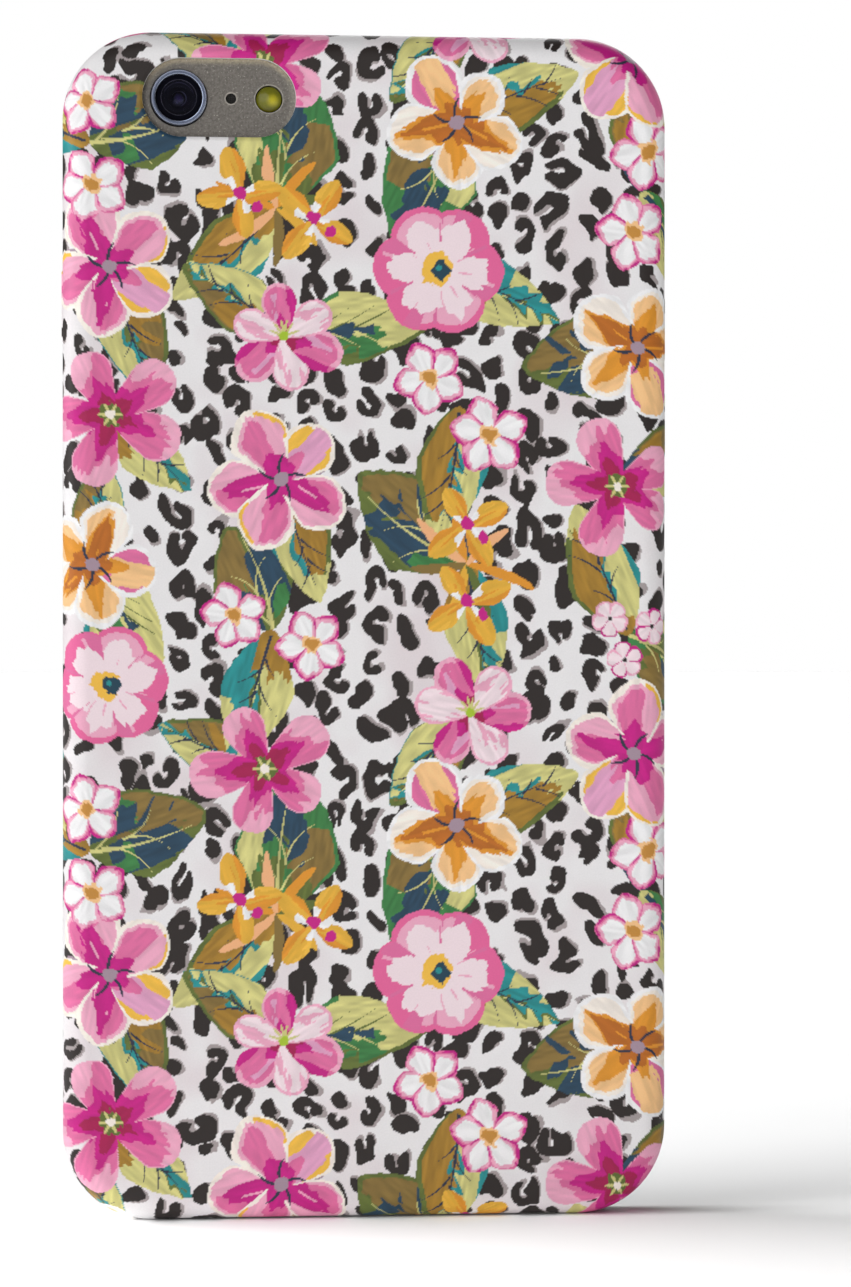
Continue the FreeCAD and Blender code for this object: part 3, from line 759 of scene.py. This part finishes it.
def cut_hole(points, faces, distance, uv):
    """Moves the nearest points onto the hole's outline and takes away the faces inside it."""
    off = distance(points)
    near = np.flatnonzero(np.abs(off) < 0.62 * STEP)
    tiny = 1e-4
    slope = np.zeros((len(near), 3))
    for axis in range(3):
        moved = points[near].copy()
        moved[:, axis] += tiny
        slope[:, axis] = (distance(moved) - off[near]) / tiny
    size = (slope**2).sum(1, keepdims=True)
    shift = -off[near, None] * slope / np.maximum(size, 1e-6)
    points[near] += shift
    flat = np.abs(points[near, 1]) < BACK_EDGE / 2
    uv[near[flat]] += shift[flat][:, [0, 2]]
    inside = off < 0
    inside[near] = False
    hits = inside[faces].sum(1)
    keep = faces[hits == 0]
    notch = faces[hits == 1]
    first = inside[notch].argmax(1)
    rows = np.arange(len(notch))
    b, c, d = (notch[rows, (first + k) % 4] for k in (1, 2, 3))
    corners = np.stack([b, c, d, d], 1)
    on_edge = np.zeros(len(points), bool)
    on_edge[near] = True
    corners = corners[~on_edge[corners[:, :3]].all(1)]
    keep = keep[~on_edge[keep].all(1)]
    return np.concatenate([keep, corners])


def add_rim(points, uv, faces, toward_window):
    """Closes the film's thickness along its borders, and lays it over the window's bevel."""
    following = np.roll(faces, -1, axis=1)
    edges = np.stack([faces.ravel(), following.ravel()], 1)
    edges = edges[edges[:, 0] != edges[:, 1]]
    key = edges.min(1) * len(points) + edges.max(1)
    _, first, counts = np.unique(key, return_index=True, return_counts=True)
    border = edges[first[counts == 1]]
    used = np.unique(border)
    inward = np.zeros((len(used), 3))
    p = points[used]
    turned = np.clip(p[:, 1], 0, BACK_EDGE)
    inward[:, 1] = (BACK_EDGE - turned) / BACK_EDGE
    core_x = np.clip(p[:, 0], -SPINE_X, SPINE_X)
    core_z = np.clip(p[:, 2], -SPINE_Z, SPINE_Z)
    side = np.stack([core_x - p[:, 0], core_z - p[:, 2]], 1)
    side /= np.maximum(np.hypot(side[:, 0], side[:, 1])[:, None], 1e-6)
    lean = np.sqrt(np.clip(1 - inward[:, 1] ** 2, 0, 1))
    inward[:, 0], inward[:, 2] = side[:, 0] * lean, side[:, 1] * lean
    at_window = toward_window(p) < 0.05
    inner = p + np.where(at_window, 0.9 * WINDOW_BEVEL, FILM)[:, None] * inward
    x, z, length, width = WINDOW
    reach = (length - width) / 2
    middle_x = np.clip(inner[:, 0], x - reach, x + reach)
    slide = np.stack([middle_x - inner[:, 0], np.zeros(len(inner)), z - inner[:, 2]], 1)
    slide /= np.linalg.norm(slide, axis=1, keepdims=True)
    inner[at_window] += WINDOW_BEVEL * slide[at_window]
    place = np.zeros(len(points), int)
    place[used] = len(points) + np.arange(len(used))
    strip = np.stack([border[:, 1], border[:, 0], place[border[:, 0]], place[border[:, 1]]], 1)
    points = np.concatenate([points, inner])
    uv = np.concatenate([uv, uv[used]])
    return points, uv, np.concatenate([faces, strip])


def mesh_from_arrays(name, points, faces):
    """Mesh from numpy arrays; a face whose last two corners are the same is a triangle."""
    used = np.unique(faces)
    renumber = np.zeros(len(points), int)
    renumber[used] = np.arange(len(used))
    faces = renumber[faces]
    repeat = faces == np.roll(faces, 1, axis=1)
    loops = faces[~repeat]
    sizes = (~repeat).sum(1)
    mesh = bpy.data.meshes.new(name)
    mesh.vertices.add(len(used))
    mesh.vertices.foreach_set("co", (points[used] * MM).astype(np.float32).ravel())
    mesh.loops.add(len(loops))
    mesh.loops.foreach_set("vertex_index", loops.astype(np.int32))
    mesh.polygons.add(len(faces))
    starts = np.concatenate([[0], np.cumsum(sizes)[:-1]])
    mesh.polygons.foreach_set("loop_start", starts.astype(np.int32))
    mesh.update(calc_edges=True)
    mesh.validate()
    mesh.shade_smooth()
    return mesh, used


def print_on(mesh, u, v):
    """Stores the print's colours on the mesh's vertices."""
    rgb = paint_print(u, v)
    linear = np.where(rgb > 0.04045, ((rgb + 0.055) / 1.055) ** 2.4, rgb / 12.92)
    rgba = np.concatenate([linear, np.ones((len(rgb), 1))], 1)
    layer = mesh.color_attributes.new("Print", "FLOAT_COLOR", "POINT")
    layer.data.foreach_set("color", rgba.astype(np.float32).ravel())


def make_film():
    points, uv, faces = film_grid()
    faces = cut_hole(points, faces, window_distance, uv)
    faces = cut_hole(points, faces, opening_distance, uv)
    for slot in SLOTS:
        faces = cut_hole(points, faces, lambda p, slot=slot: slot_distance(p, *slot), uv)
    points, uv, faces = add_rim(points, uv, faces, window_distance)
    mesh, used = mesh_from_arrays("printed_film", points, faces)
    print_on(mesh, uv[used, 0], uv[used, 1])
    film = bpy.data.objects.new("printed_film", mesh)
    bpy.context.scene.collection.objects.link(film)
    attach(film, "case")
    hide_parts("print_film")
    return film


def make_cover(name, side):
    """The key cover's own shape, cut fine enough to carry the print."""
    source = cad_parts[name]
    mesh = bpy.data.meshes.new(name + "_print")
    shape = bmesh.new()
    shape.from_mesh(source.data)
    bmesh.ops.remove_doubles(shape, verts=shape.verts, dist=1e-6)
    low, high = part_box(name)
    pitch = max(STEP, 0.2) * MM
    for axis in (1, 2):
        for k in range(1, math.ceil((high[axis] - low[axis]) / pitch)):
            place, normal = Vector((0, 0, 0)), Vector((0, 0, 0))
            place[axis] = low[axis] + k * pitch
            normal[axis] = 1
            everything = shape.verts[:] + shape.edges[:] + shape.faces[:]
            bmesh.ops.bisect_plane(shape, geom=everything, plane_co=place, plane_no=normal)
    shape.to_mesh(mesh)
    shape.free()
    mesh.shade_smooth()
    mesh.set_sharp_from_angle(angle=math.radians(35))
    co = np.zeros(len(mesh.vertices) * 3, np.float32)
    mesh.vertices.foreach_get("co", co)
    co = co.reshape(-1, 3) / MM
    print_on(mesh, side * (SPINE_X + FLAT + ARC + co[:, 1] - BACK_EDGE), co[:, 2])
    cover = bpy.data.objects.new(name + "_print", mesh)
    bpy.context.scene.collection.objects.link(cover)
    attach(cover, name)
    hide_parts(name)
    return cover


# ---------------------------------------------------------------------- materials
class Look:
    """A Principled material whose colour, roughness and relief are built from node textures."""

    def __init__(self, name, colour, roughness, metallic=0.0):
        self.material = bpy.data.materials.new(name)
        self.material.use_nodes = True
        self.tree = self.material.node_tree
        self.tree.nodes.clear()
        self.surface = self.node("ShaderNodeBsdfPrincipled")
        self.surface.inputs["Metallic"].default_value = metallic
        output = self.node("ShaderNodeOutputMaterial")
        self.link(self.surface.outputs[0], output.inputs["Surface"])
        self.place = self.node("ShaderNodeTexCoord").outputs["Object"]
        self.colour = self.rgb(colour)
        self.roughness = self.value(roughness)
        self.height = None

    def node(self, kind, **settings):
        made = self.tree.nodes.new(kind)
        for name, setting in settings.items():
            setattr(made, name, setting)
        return made

    def link(self, output, socket):
        self.tree.links.new(output, socket)

    def rgb(self, colour):
        made = self.node("ShaderNodeRGB")
        made.outputs[0].default_value = (*colour, 1)
        return made.outputs[0]

    def value(self, number):
        made = self.node("ShaderNodeValue")
        made.outputs[0].default_value = number
        return made.outputs[0]

    def math(self, operation, a, b=None, clamp=False):
        made = self.node("ShaderNodeMath", operation=operation, use_clamp=clamp)
        for socket, given in zip(made.inputs, (a, b)):
            if isinstance(given, (int, float)):
                socket.default_value = given
            elif given is not None:
                self.link(given, socket)
        return made.outputs[0]

    def noise(self, size, detail=2.0, stretch=(1, 1, 1)):
        """Noise from 0 to 1 with features of about size millimetres."""
        scaled = self.node("ShaderNodeMapping")
        scaled.inputs["Scale"].default_value = [1 / s for s in stretch]
        self.link(self.place, scaled.inputs["Vector"])
        texture = self.node("ShaderNodeTexNoise")
        texture.inputs["Scale"].default_value = 1 / (size * MM)
        texture.inputs["Detail"].default_value = detail
        self.link(scaled.outputs[0], texture.inputs["Vector"])
        return texture.outputs["Fac"]

    def cells(self, size):
        """Distance to the nearest of many scattered points, about size millimetres apart."""
        texture = self.node("ShaderNodeTexVoronoi")
        texture.inputs["Scale"].default_value = 1 / (size * MM)
        self.link(self.place, texture.inputs["Vector"])
        return texture.outputs["Distance"]

    def axis(self, name):
        """One coordinate of the surface point, in millimetres."""
        parts = self.node("ShaderNodeSeparateXYZ")
        self.link(self.place, parts.inputs[0])
        return self.math("DIVIDE", parts.outputs[name], MM)

    def distance_from(self, x, z):
        """Millimetres from the Y-parallel line through (x, z)."""
        a = self.math("SUBTRACT", self.axis("X"), x)
        b = self.math("SUBTRACT", self.axis("Z"), z)
        squares = self.math("ADD", self.math("MULTIPLY", a, a), self.math("MULTIPLY", b, b))
        return self.math("SQRT", squares)

    def inside_window(self, depth):
        """1 on the camera window's outline, falling to 0 depth millimetres inside it."""
        x, z, length, width = WINDOW
        beyond = self.math("ABSOLUTE", self.math("SUBTRACT", self.axis("X"), x))
        beyond = self.math("MAXIMUM", self.math("SUBTRACT", beyond, (length - width) / 2), 0.0)
        rise = self.math("SUBTRACT", self.axis("Z"), z)
        squares = self.math("ADD", self.math("MULTIPLY", beyond, beyond), self.math("MULTIPLY", rise, rise))
        return self.between(self.math("SQRT", squares), width / 2 - depth, width / 2)

    def waves(self, amount, pitch):
        """Ripple from 0 to 1 that repeats every pitch millimetres of amount."""
        wave = self.math("SINE", self.math("MULTIPLY", amount, 2 * math.pi / pitch))
        return self.scale(wave, 0.5, 0.5)

    def scale(self, source, gain, shift):
        made = self.node("ShaderNodeMath", operation="MULTIPLY_ADD")
        self.link(source, made.inputs[0])
        made.inputs[1].default_value = gain
        made.inputs[2].default_value = shift
        return made.outputs[0]

    def between(self, source, low, high):
        """Smooth step from 0 at low to 1 at high."""
        made = self.node("ShaderNodeMapRange", interpolation_type="SMOOTHSTEP")
        self.link(source, made.inputs["Value"])
        made.inputs["From Min"].default_value = low
        made.inputs["From Max"].default_value = high
        return made.outputs[0]

    def tint(self, mask, colour):
        """Lays a colour over the base colour where mask is 1."""
        mix = self.node("ShaderNodeMix", data_type="RGBA")
        self.link(mask, mix.inputs["Factor"])
        self.link(self.colour, mix.inputs["A"])
        mix.inputs["B"].default_value = (*colour, 1)
        self.colour = mix.outputs["Result"]

    def vary(self, mask, amount):
        """Makes the base colour up to amount darker where mask is 0 and lighter where it is 1."""
        gain = self.scale(mask, 2 * amount, 1 - amount)
        scale = self.node("ShaderNodeVectorMath", operation="SCALE")
        self.link(self.colour, scale.inputs[0])
        self.link(gain, scale.inputs["Scale"])
        self.colour = scale.outputs[0]

    def roughen(self, mask, amount):
        shift = self.scale(mask, 2 * amount, -amount)
        self.roughness = self.math("ADD", self.roughness, shift, clamp=True)

    def relief(self, mask, depth):
        """Adds bumps of depth millimetres."""
        raised = self.scale(mask, depth, 0.0)
        self.height = raised if self.height is None else self.math("ADD", self.height, raised)

    def done(self, **inputs):
        self.link(self.colour, self.surface.inputs["Base Color"])
        self.link(self.roughness, self.surface.inputs["Roughness"])
        for name, setting in inputs.items():
            self.surface.inputs[name.replace("_", " ")].default_value = setting
        if self.height is not None:
            bump = self.node("ShaderNodeBump")
            bump.inputs["Distance"].default_value = MM
            self.link(self.height, bump.inputs["Height"])
            self.link(bump.outputs[0], self.surface.inputs["Normal"])
        return self.material


def printed_film_look():
    """Satin film: the print, under a fine sandy grain."""
    look = Look("printed_film", (0.8, 0.8, 0.8), 0.46)
    paint = look.node("ShaderNodeVertexColor", layer_name="Print")
    look.colour = paint.outputs["Color"]
    grain = look.noise(0.22, 3)
    look.vary(grain, 0.07)
    look.vary(look.noise(6.0), 0.02)
    look.roughen(look.noise(0.4, 4), 0.10)
    look.relief(grain, 0.012)
    return look.done(Specular_IOR_Level=0.3)


def shell_look():
    """Off-white satin plastic."""
    look = Look("shell_plastic", (0.80, 0.79, 0.76), 0.42)
    look.vary(look.noise(9.0), 0.02)
    grain = look.noise(0.3, 4)
    look.vary(grain, 0.02)
    look.roughen(look.noise(1.4, 3), 0.08)
    look.relief(grain, 0.01)
    return look.done(Subsurface_Weight=0.05, Subsurface_Scale=0.001)


def blasted_metal_look():
    """Bead-blasted warm grey metal with lighter flecks painted in as sparkle, pale chamfers round its small
    holes, and painted light and shade along the camera window's edge.
    """
    look = Look("blasted_metal", (0.175, 0.160, 0.142), 0.52, 0.55)
    # Painted light along the window's edge: painted shade at its left end, a painted highlight at its right
    # end, and a warm painted reflection along its top.
    high = look.between(look.axis("Z"), ROW_Z + 1.0, ROW_Z + 4.5)
    low = look.between(look.axis("X"), LENS_X + 4.0, LENS_X - 3.0)
    right = look.between(look.axis("X"), FLASH_X + 1.0, FLASH_X + 3.5)
    look.tint(look.math("MULTIPLY", look.inside_window(0.8), low), (0.08, 0.073, 0.067))
    look.tint(look.math("MULTIPLY", look.inside_window(1.2), right), (0.26, 0.24, 0.21))
    look.tint(look.math("MULTIPLY", look.inside_window(1.0), high), (0.42, 0.36, 0.26))
    look.tint(look.between(look.distance_from(MICROPHONE_X, ROW_Z), 0.95, 0.82), (0.38, 0.35, 0.31))
    look.tint(look.between(look.distance_from(FLASH_X, ROW_Z), 2.05, 1.92), (0.34, 0.32, 0.28))
    # Lighter flecks painted into the colour as glints of the blasted surface.
    painted_glint = look.between(look.noise(0.22, 2), 0.60, 0.74)
    grain = look.noise(0.34, 4)
    look.vary(grain, 0.62)
    look.tint(look.scale(painted_glint, 0.6, 0.0), (0.60, 0.57, 0.50))
    look.roughen(look.noise(0.25, 2), 0.12)
    look.relief(grain, 0.03)
    return look.done()


def ring_metal_look():
    """Dark blue-grey ring with a bright inner bevel and fine turning marks round the lens."""
    look = Look("ring_metal", (0.12, 0.14, 0.20), 0.22, 1.0)
    away = look.distance_from(LENS_X, ROW_Z)
    look.tint(look.between(away, 3.26, 3.20), (0.42, 0.47, 0.60))
    look.tint(look.between(away, 3.52, 3.60), (0.30, 0.33, 0.42))
    turning = look.waves(away, 0.11)
    look.vary(turning, 0.08)
    look.roughen(look.noise(0.3, 3), 0.06)
    look.relief(turning, 0.002)
    return look.done()


def lens_glass_look():
    """Clear cover glass with a thin blue coating and a black printed border."""
    look = Look("lens_glass", (0.004, 0.004, 0.008), 0.03)
    away = look.distance_from(LENS_X, ROW_Z)
    clear = look.between(away, 2.42, 2.36)
    look.vary(look.noise(0.8, 2), 0.3)
    look.roughen(look.noise(0.6, 3), 0.02)
    look.link(clear, look.surface.inputs["Transmission Weight"])
    look.tint(clear, (0.62, 0.62, 0.85))
    return look.done(IOR=1.3, Specular_IOR_Level=0.2)


def lens_black_look():
    """Matt black with fine machined rings, and a painted highlight along two of them on one side."""
    look = Look("lens_black", (0.006, 0.006, 0.009), 0.5)
    away = look.distance_from(LENS_X, ROW_Z)
    right = look.between(look.axis("X"), LENS_X + 0.1, LENS_X + 0.7)
    upper = look.between(look.axis("Z"), ROW_Z + 0.3, ROW_Z + 1.5)
    # Painted highlights: a light arc on the right of the inner ring and a fainter one along the top of the
    # outer ring.
    for radius, side, strength in ((1.02, right, 0.9), (2.05, upper, 0.5)):
        edge = look.math("ABSOLUTE", look.math("SUBTRACT", away, radius))
        arc = look.math("MULTIPLY", look.between(edge, 0.10, 0.02), side)
        look.tint(look.scale(arc, strength, 0.0), (0.16, 0.16, 0.20))
    turning = look.waves(away, 0.16)
    look.vary(turning, 0.35)
    look.roughen(turning, 0.1)
    look.relief(turning, 0.01)
    return look.done(Specular_IOR_Level=0.3)


def lens_element_look():
    """Coated glass of the first lens, violet at its middle."""
    look = Look("lens_element", (0.01, 0.01, 0.02), 0.03)
    away = look.distance_from(LENS_X, ROW_Z)
    look.tint(look.between(away, 0.75, 0.1), (0.05, 0.03, 0.10))
    look.roughen(look.noise(0.4, 2), 0.02)
    return look.done(Coat_Weight=0.3, Coat_Roughness=0.05)


def flash_look():
    """Amber dome over a yellow phosphor."""
    look = Look("flash_amber", (0.17, 0.17, 0.012), 0.16)
    away = look.distance_from(FLASH_X + 0.55, ROW_Z - 0.15)
    look.tint(look.between(away, 1.15, 0.1), (0.52, 0.46, 0.03))
    look.tint(look.between(look.axis("Z"), ROW_Z - 0.7, ROW_Z - 1.9), (0.10, 0.085, 0.008))
    facets = look.cells(0.22)
    look.vary(facets, 0.08)
    look.relief(facets, 0.01)
    look.roughen(look.noise(0.5, 2), 0.05)
    return look.done(Coat_Weight=0.15, Coat_Roughness=0.1, Specular_IOR_Level=0.25)


def phosphor_look():
    look = Look("phosphor", (0.75, 0.66, 0.06), 0.7)
    grain = look.cells(0.12)
    look.vary(grain, 0.2)
    look.roughen(grain, 0.1)
    look.relief(grain, 0.02)
    return look.done()


def mesh_metal_look():
    """Dark woven mesh."""
    look = Look("mesh_metal", (0.012, 0.011, 0.010), 0.5, 0.6)
    across = look.waves(look.axis("X"), 0.24)
    along = look.waves(look.math("ADD", look.axis("Z"), look.axis("Y")), 0.24)
    weave = look.math("MULTIPLY", across, along)
    look.tint(look.between(weave, 0.25, 0.8), (0.05, 0.047, 0.044))
    look.roughen(weave, 0.1)
    look.relief(weave, 0.06)
    return look.done()


def front_black_look():
    """Black-backed cover glass with the faintest smears."""
    look = Look("front_black", (0.008, 0.008, 0.010), 0.05)
    smear = look.noise(14.0, 3, (1, 1, 2.5))
    look.vary(smear, 0.2)
    look.roughen(look.between(smear, 0.45, 0.8), 0.035)
    return look.done(Coat_Weight=0.5, Coat_Roughness=0.03)


def screen_look():
    """Screen that is off: a shade lighter than its border, with fine pixel rows."""
    look = Look("screen_dark", (0.014, 0.015, 0.019), 0.06)
    rows = look.math("MULTIPLY", look.waves(look.axis("X"), 0.4), look.waves(look.axis("Z"), 0.4))
    look.vary(rows, 0.25)
    look.vary(look.noise(30.0), 0.2)
    look.roughen(look.between(look.noise(11.0, 3), 0.5, 0.8), 0.03)
    return look.done(Coat_Weight=0.5, Coat_Roughness=0.04)


def port_black_look():
    """Moulded black tongue with gold contacts along it."""
    look = Look("port_black", (0.015, 0.015, 0.015), 0.45)
    stripes = look.between(look.waves(look.axis("X"), 0.75), 0.55, 0.62)
    look.tint(stripes, (0.62, 0.40, 0.10))
    grain = look.noise(0.2, 3)
    look.vary(grain, 0.08)
    look.roughen(grain, 0.08)
    look.relief(stripes, 0.02)
    return look.done()


def board_look():
    """Green lacquered board with copper tracks."""
    look = Look("board_green", (0.012, 0.09, 0.035), 0.35)
    tracks = look.between(look.waves(look.axis("X"), 1.1), 0.80, 0.9)
    patches = look.between(look.noise(4.0), 0.45, 0.55)
    look.tint(look.math("MULTIPLY", tracks, patches), (0.06, 0.22, 0.08))
    look.vary(look.noise(0.6, 3), 0.12)
    look.roughen(look.noise(1.0, 3), 0.08)
    look.relief(tracks, 0.03)
    return look.done()


# Materials with a single noise: colour, roughness, metalness, the noise's size, detail and
# stretch, how far it changes lightness, roughness and relief, and the CAD nodes that wear it.
PLAIN_LOOKS = {
    "antenna_plastic": (
        (0.13, 0.12, 0.11), 0.5, 0.0, (0.25, 3), (0.08, 0.06, 0.01), ["antenna_strips"],
    ),
    "key_metal": (
        (0.30, 0.27, 0.24), 0.34, 0.9, (0.12, 3, (1, 1, 14)), (0.16, 0.1, 0.006),
        ["power_key", "volume_up_key", "volume_down_key", "mute_slider"],
    ),
    "home_rim_metal": ((0.33, 0.31, 0.28), 0.24, 1.0, (0.15, 3), (0.12, 0.08, 0), ["home_key_rim"]),
    "home_black": ((0.012, 0.012, 0.013), 0.12, 0.0, (2.5, 3), (0.25, 0.06, 0), ["home_key"]),
    "port_metal": (
        (0.42, 0.42, 0.42), 0.3, 1.0, (0.1, 3, (1, 1, 10)), (0.15, 0.1, 0.006),
        ["charge_port_liner", "headphone_jack"],
    ),
    "screw_steel": ((0.35, 0.34, 0.33), 0.28, 1.0, (0.08, 3), (0.15, 0.1, 0.004), ["bottom_screws"]),
    "battery_wrap": (
        (0.02, 0.02, 0.022), 0.4, 0.0, (5.0, 4, (1, 1, 3)), (0.3, 0.12, 0.15), ["battery"],
    ),
}
COATED = {"home_black": {"Coat_Weight": 0.6, "Coat_Roughness": 0.05}}


def plain_look(name, colour, roughness, metallic, noise, change):
    look = Look(name, colour, roughness, metallic)
    texture = look.noise(*noise)
    shade, rough, depth = change
    look.vary(texture, shade)
    look.roughen(texture, rough)
    if depth:
        look.relief(texture, depth)
    return look.done(**COATED.get(name, {}))


LOOKS = {
    shell_look: ["case_shell"],
    blasted_metal_look: ["handset_housing"],
    ring_metal_look: ["camera_ring"],
    lens_glass_look: ["camera_glass", "front_camera_window"],
    lens_black_look: ["camera_barrel", "camera_module"],
    lens_element_look: ["camera_lens_element"],
    flash_look: ["flash_diffuser"],
    phosphor_look: ["flash_emitter"],
    mesh_metal_look: ["rear_microphone_mesh", "earpiece_mesh", "speaker_mesh"],
    front_black_look: ["front_glass"],
    screen_look: ["screen_panel"],
    port_black_look: ["charge_port_tongue"],
    board_look: ["main_board"],
}


def finish_with(thing, material):
    thing.data.materials.clear()
    thing.data.materials.append(material)


def dress_cad_nodes():
    dressed = [(make(), names) for make, names in LOOKS.items()]
    for look_name, (*recipe, names) in PLAIN_LOOKS.items():
        dressed.append((plain_look(look_name, *recipe), names))
    for material, names in dressed:
        for name in names:
            finish_with(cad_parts[name], material)


# -------------------------------------------------------------------- stage and light
FLOOR_Z = -CASE_END
WORLD_LIGHT = 0.12       # strength of the white surroundings, for everything but the camera
CAMERA_DISTANCE = 0.5    # metres
CAMERA_TURN = -4.5       # degrees, towards the left side
CAMERA_TARGET = (0.0078, 0, -0.00233)
VIEW_WIDTH = 0.173       # metres across the picture at the case


def make_floor():
    """Wide pale floor under the standing case."""
    mesh = bpy.data.meshes.new("floor")
    half = 6.0
    corners = [(-half, -half), (half, -half), (half, half), (-half, half)]
    mesh.from_pydata([(x, y, FLOOR_Z * MM) for x, y in corners], [], [(0, 1, 2, 3)])
    floor = bpy.data.objects.new("floor", mesh)
    bpy.context.scene.collection.objects.link(floor)
    look = Look("floor_paper", (0.86, 0.86, 0.86), 0.9)
    look.vary(look.noise(40.0), 0.01)
    look.relief(look.noise(0.8, 3), 0.01)
    finish_with(floor, look.done(Specular_IOR_Level=0.1))
    floor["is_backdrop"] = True
    return floor


def make_world():
    """White for the camera, dim for everything it lights."""
    world = bpy.data.worlds.new("studio")
    bpy.context.scene.world = world
    world.use_nodes = True
    tree = world.node_tree
    tree.nodes.clear()
    path = tree.nodes.new("ShaderNodeLightPath")
    strength = tree.nodes.new("ShaderNodeMapRange")
    strength.inputs["To Min"].default_value = WORLD_LIGHT
    strength.inputs["To Max"].default_value = 1.0
    backdrop = tree.nodes.new("ShaderNodeBackground")
    backdrop.inputs["Color"].default_value = (1, 1, 1, 1)
    output = tree.nodes.new("ShaderNodeOutputWorld")
    tree.links.new(path.outputs["Is Camera Ray"], strength.inputs["Value"])
    tree.links.new(strength.outputs[0], backdrop.inputs["Strength"])
    tree.links.new(backdrop.outputs[0], output.inputs["Surface"])


def make_sun(name, toward, strength, spread, lit):
    """Far light on some things only; toward points to the light, spread is its width in degrees."""
    lamp = bpy.data.lights.new(name, "SUN")
    lamp.energy = strength * math.pi
    lamp.angle = math.radians(spread)
    light = bpy.data.objects.new(name, lamp)
    light.rotation_euler = (-Vector(toward)).to_track_quat("-Z", "Y").to_euler()
    bpy.context.scene.collection.objects.link(light)
    group = bpy.data.collections.new(name + "_lights")
    for thing in lit:
        group.objects.link(thing)
    light.light_linking.receiver_collection = group


def make_lights(floor):
    """Three lamps shape the floor's shadow, and softer ones model the case."""
    shown = [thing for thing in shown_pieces() if thing is not floor]
    glassy = ("camera_glass", "camera_lens_element", "front_glass", "screen_panel")
    matt = [thing for thing in shown if thing.name not in glassy]
    make_sun("floor_left", (-0.940, 0.0, 0.342), 1.47, 60, [floor])
    make_sun("floor_front", (-0.887, -0.413, 0.208), 1.06, 42, [floor])
    make_sun("floor_rear", (-0.925, 0.163, 0.342), 0.98, 46, [floor])
    make_sun("case_front", (-0.38, -0.90, 0.25), 0.33, 50, matt)
    make_sun("case_left", (-0.95, -0.05, 0.30), 0.40, 24, shown)
    make_sun("case_rear", (0.35, 0.80, 0.60), 0.30, 40, matt)


def make_camera():
    """Long lens, level, a few degrees to the left of the case's middle line."""
    data = bpy.data.cameras.new("camera")
    data.sensor_width = 36.0
    data.lens = data.sensor_width * CAMERA_DISTANCE / VIEW_WIDTH
    camera = bpy.data.objects.new("camera", data)
    turn = math.radians(CAMERA_TURN)
    camera.location = (CAMERA_DISTANCE * math.sin(turn), -CAMERA_DISTANCE * math.cos(turn), 0)
    aim = Vector(CAMERA_TARGET) - camera.location
    camera.rotation_euler = aim.to_track_quat("-Z", "Y").to_euler()
    bpy.context.scene.collection.objects.link(camera)
    bpy.context.scene.camera = camera


def main():
    scene = bpy.context.scene
    scene.view_settings.view_transform = "Standard"
    scene.view_settings.look = "None"
    dress_cad_nodes()
    film_look = printed_film_look()
    finish_with(make_film(), film_look)
    for name, side in (("power_cover", -1), ("volume_up_cover", 1), ("volume_down_cover", 1)):
        finish_with(make_cover(name, side), film_look)
    floor = make_floor()
    make_world()
    make_lights(floor)
    make_camera()


main()
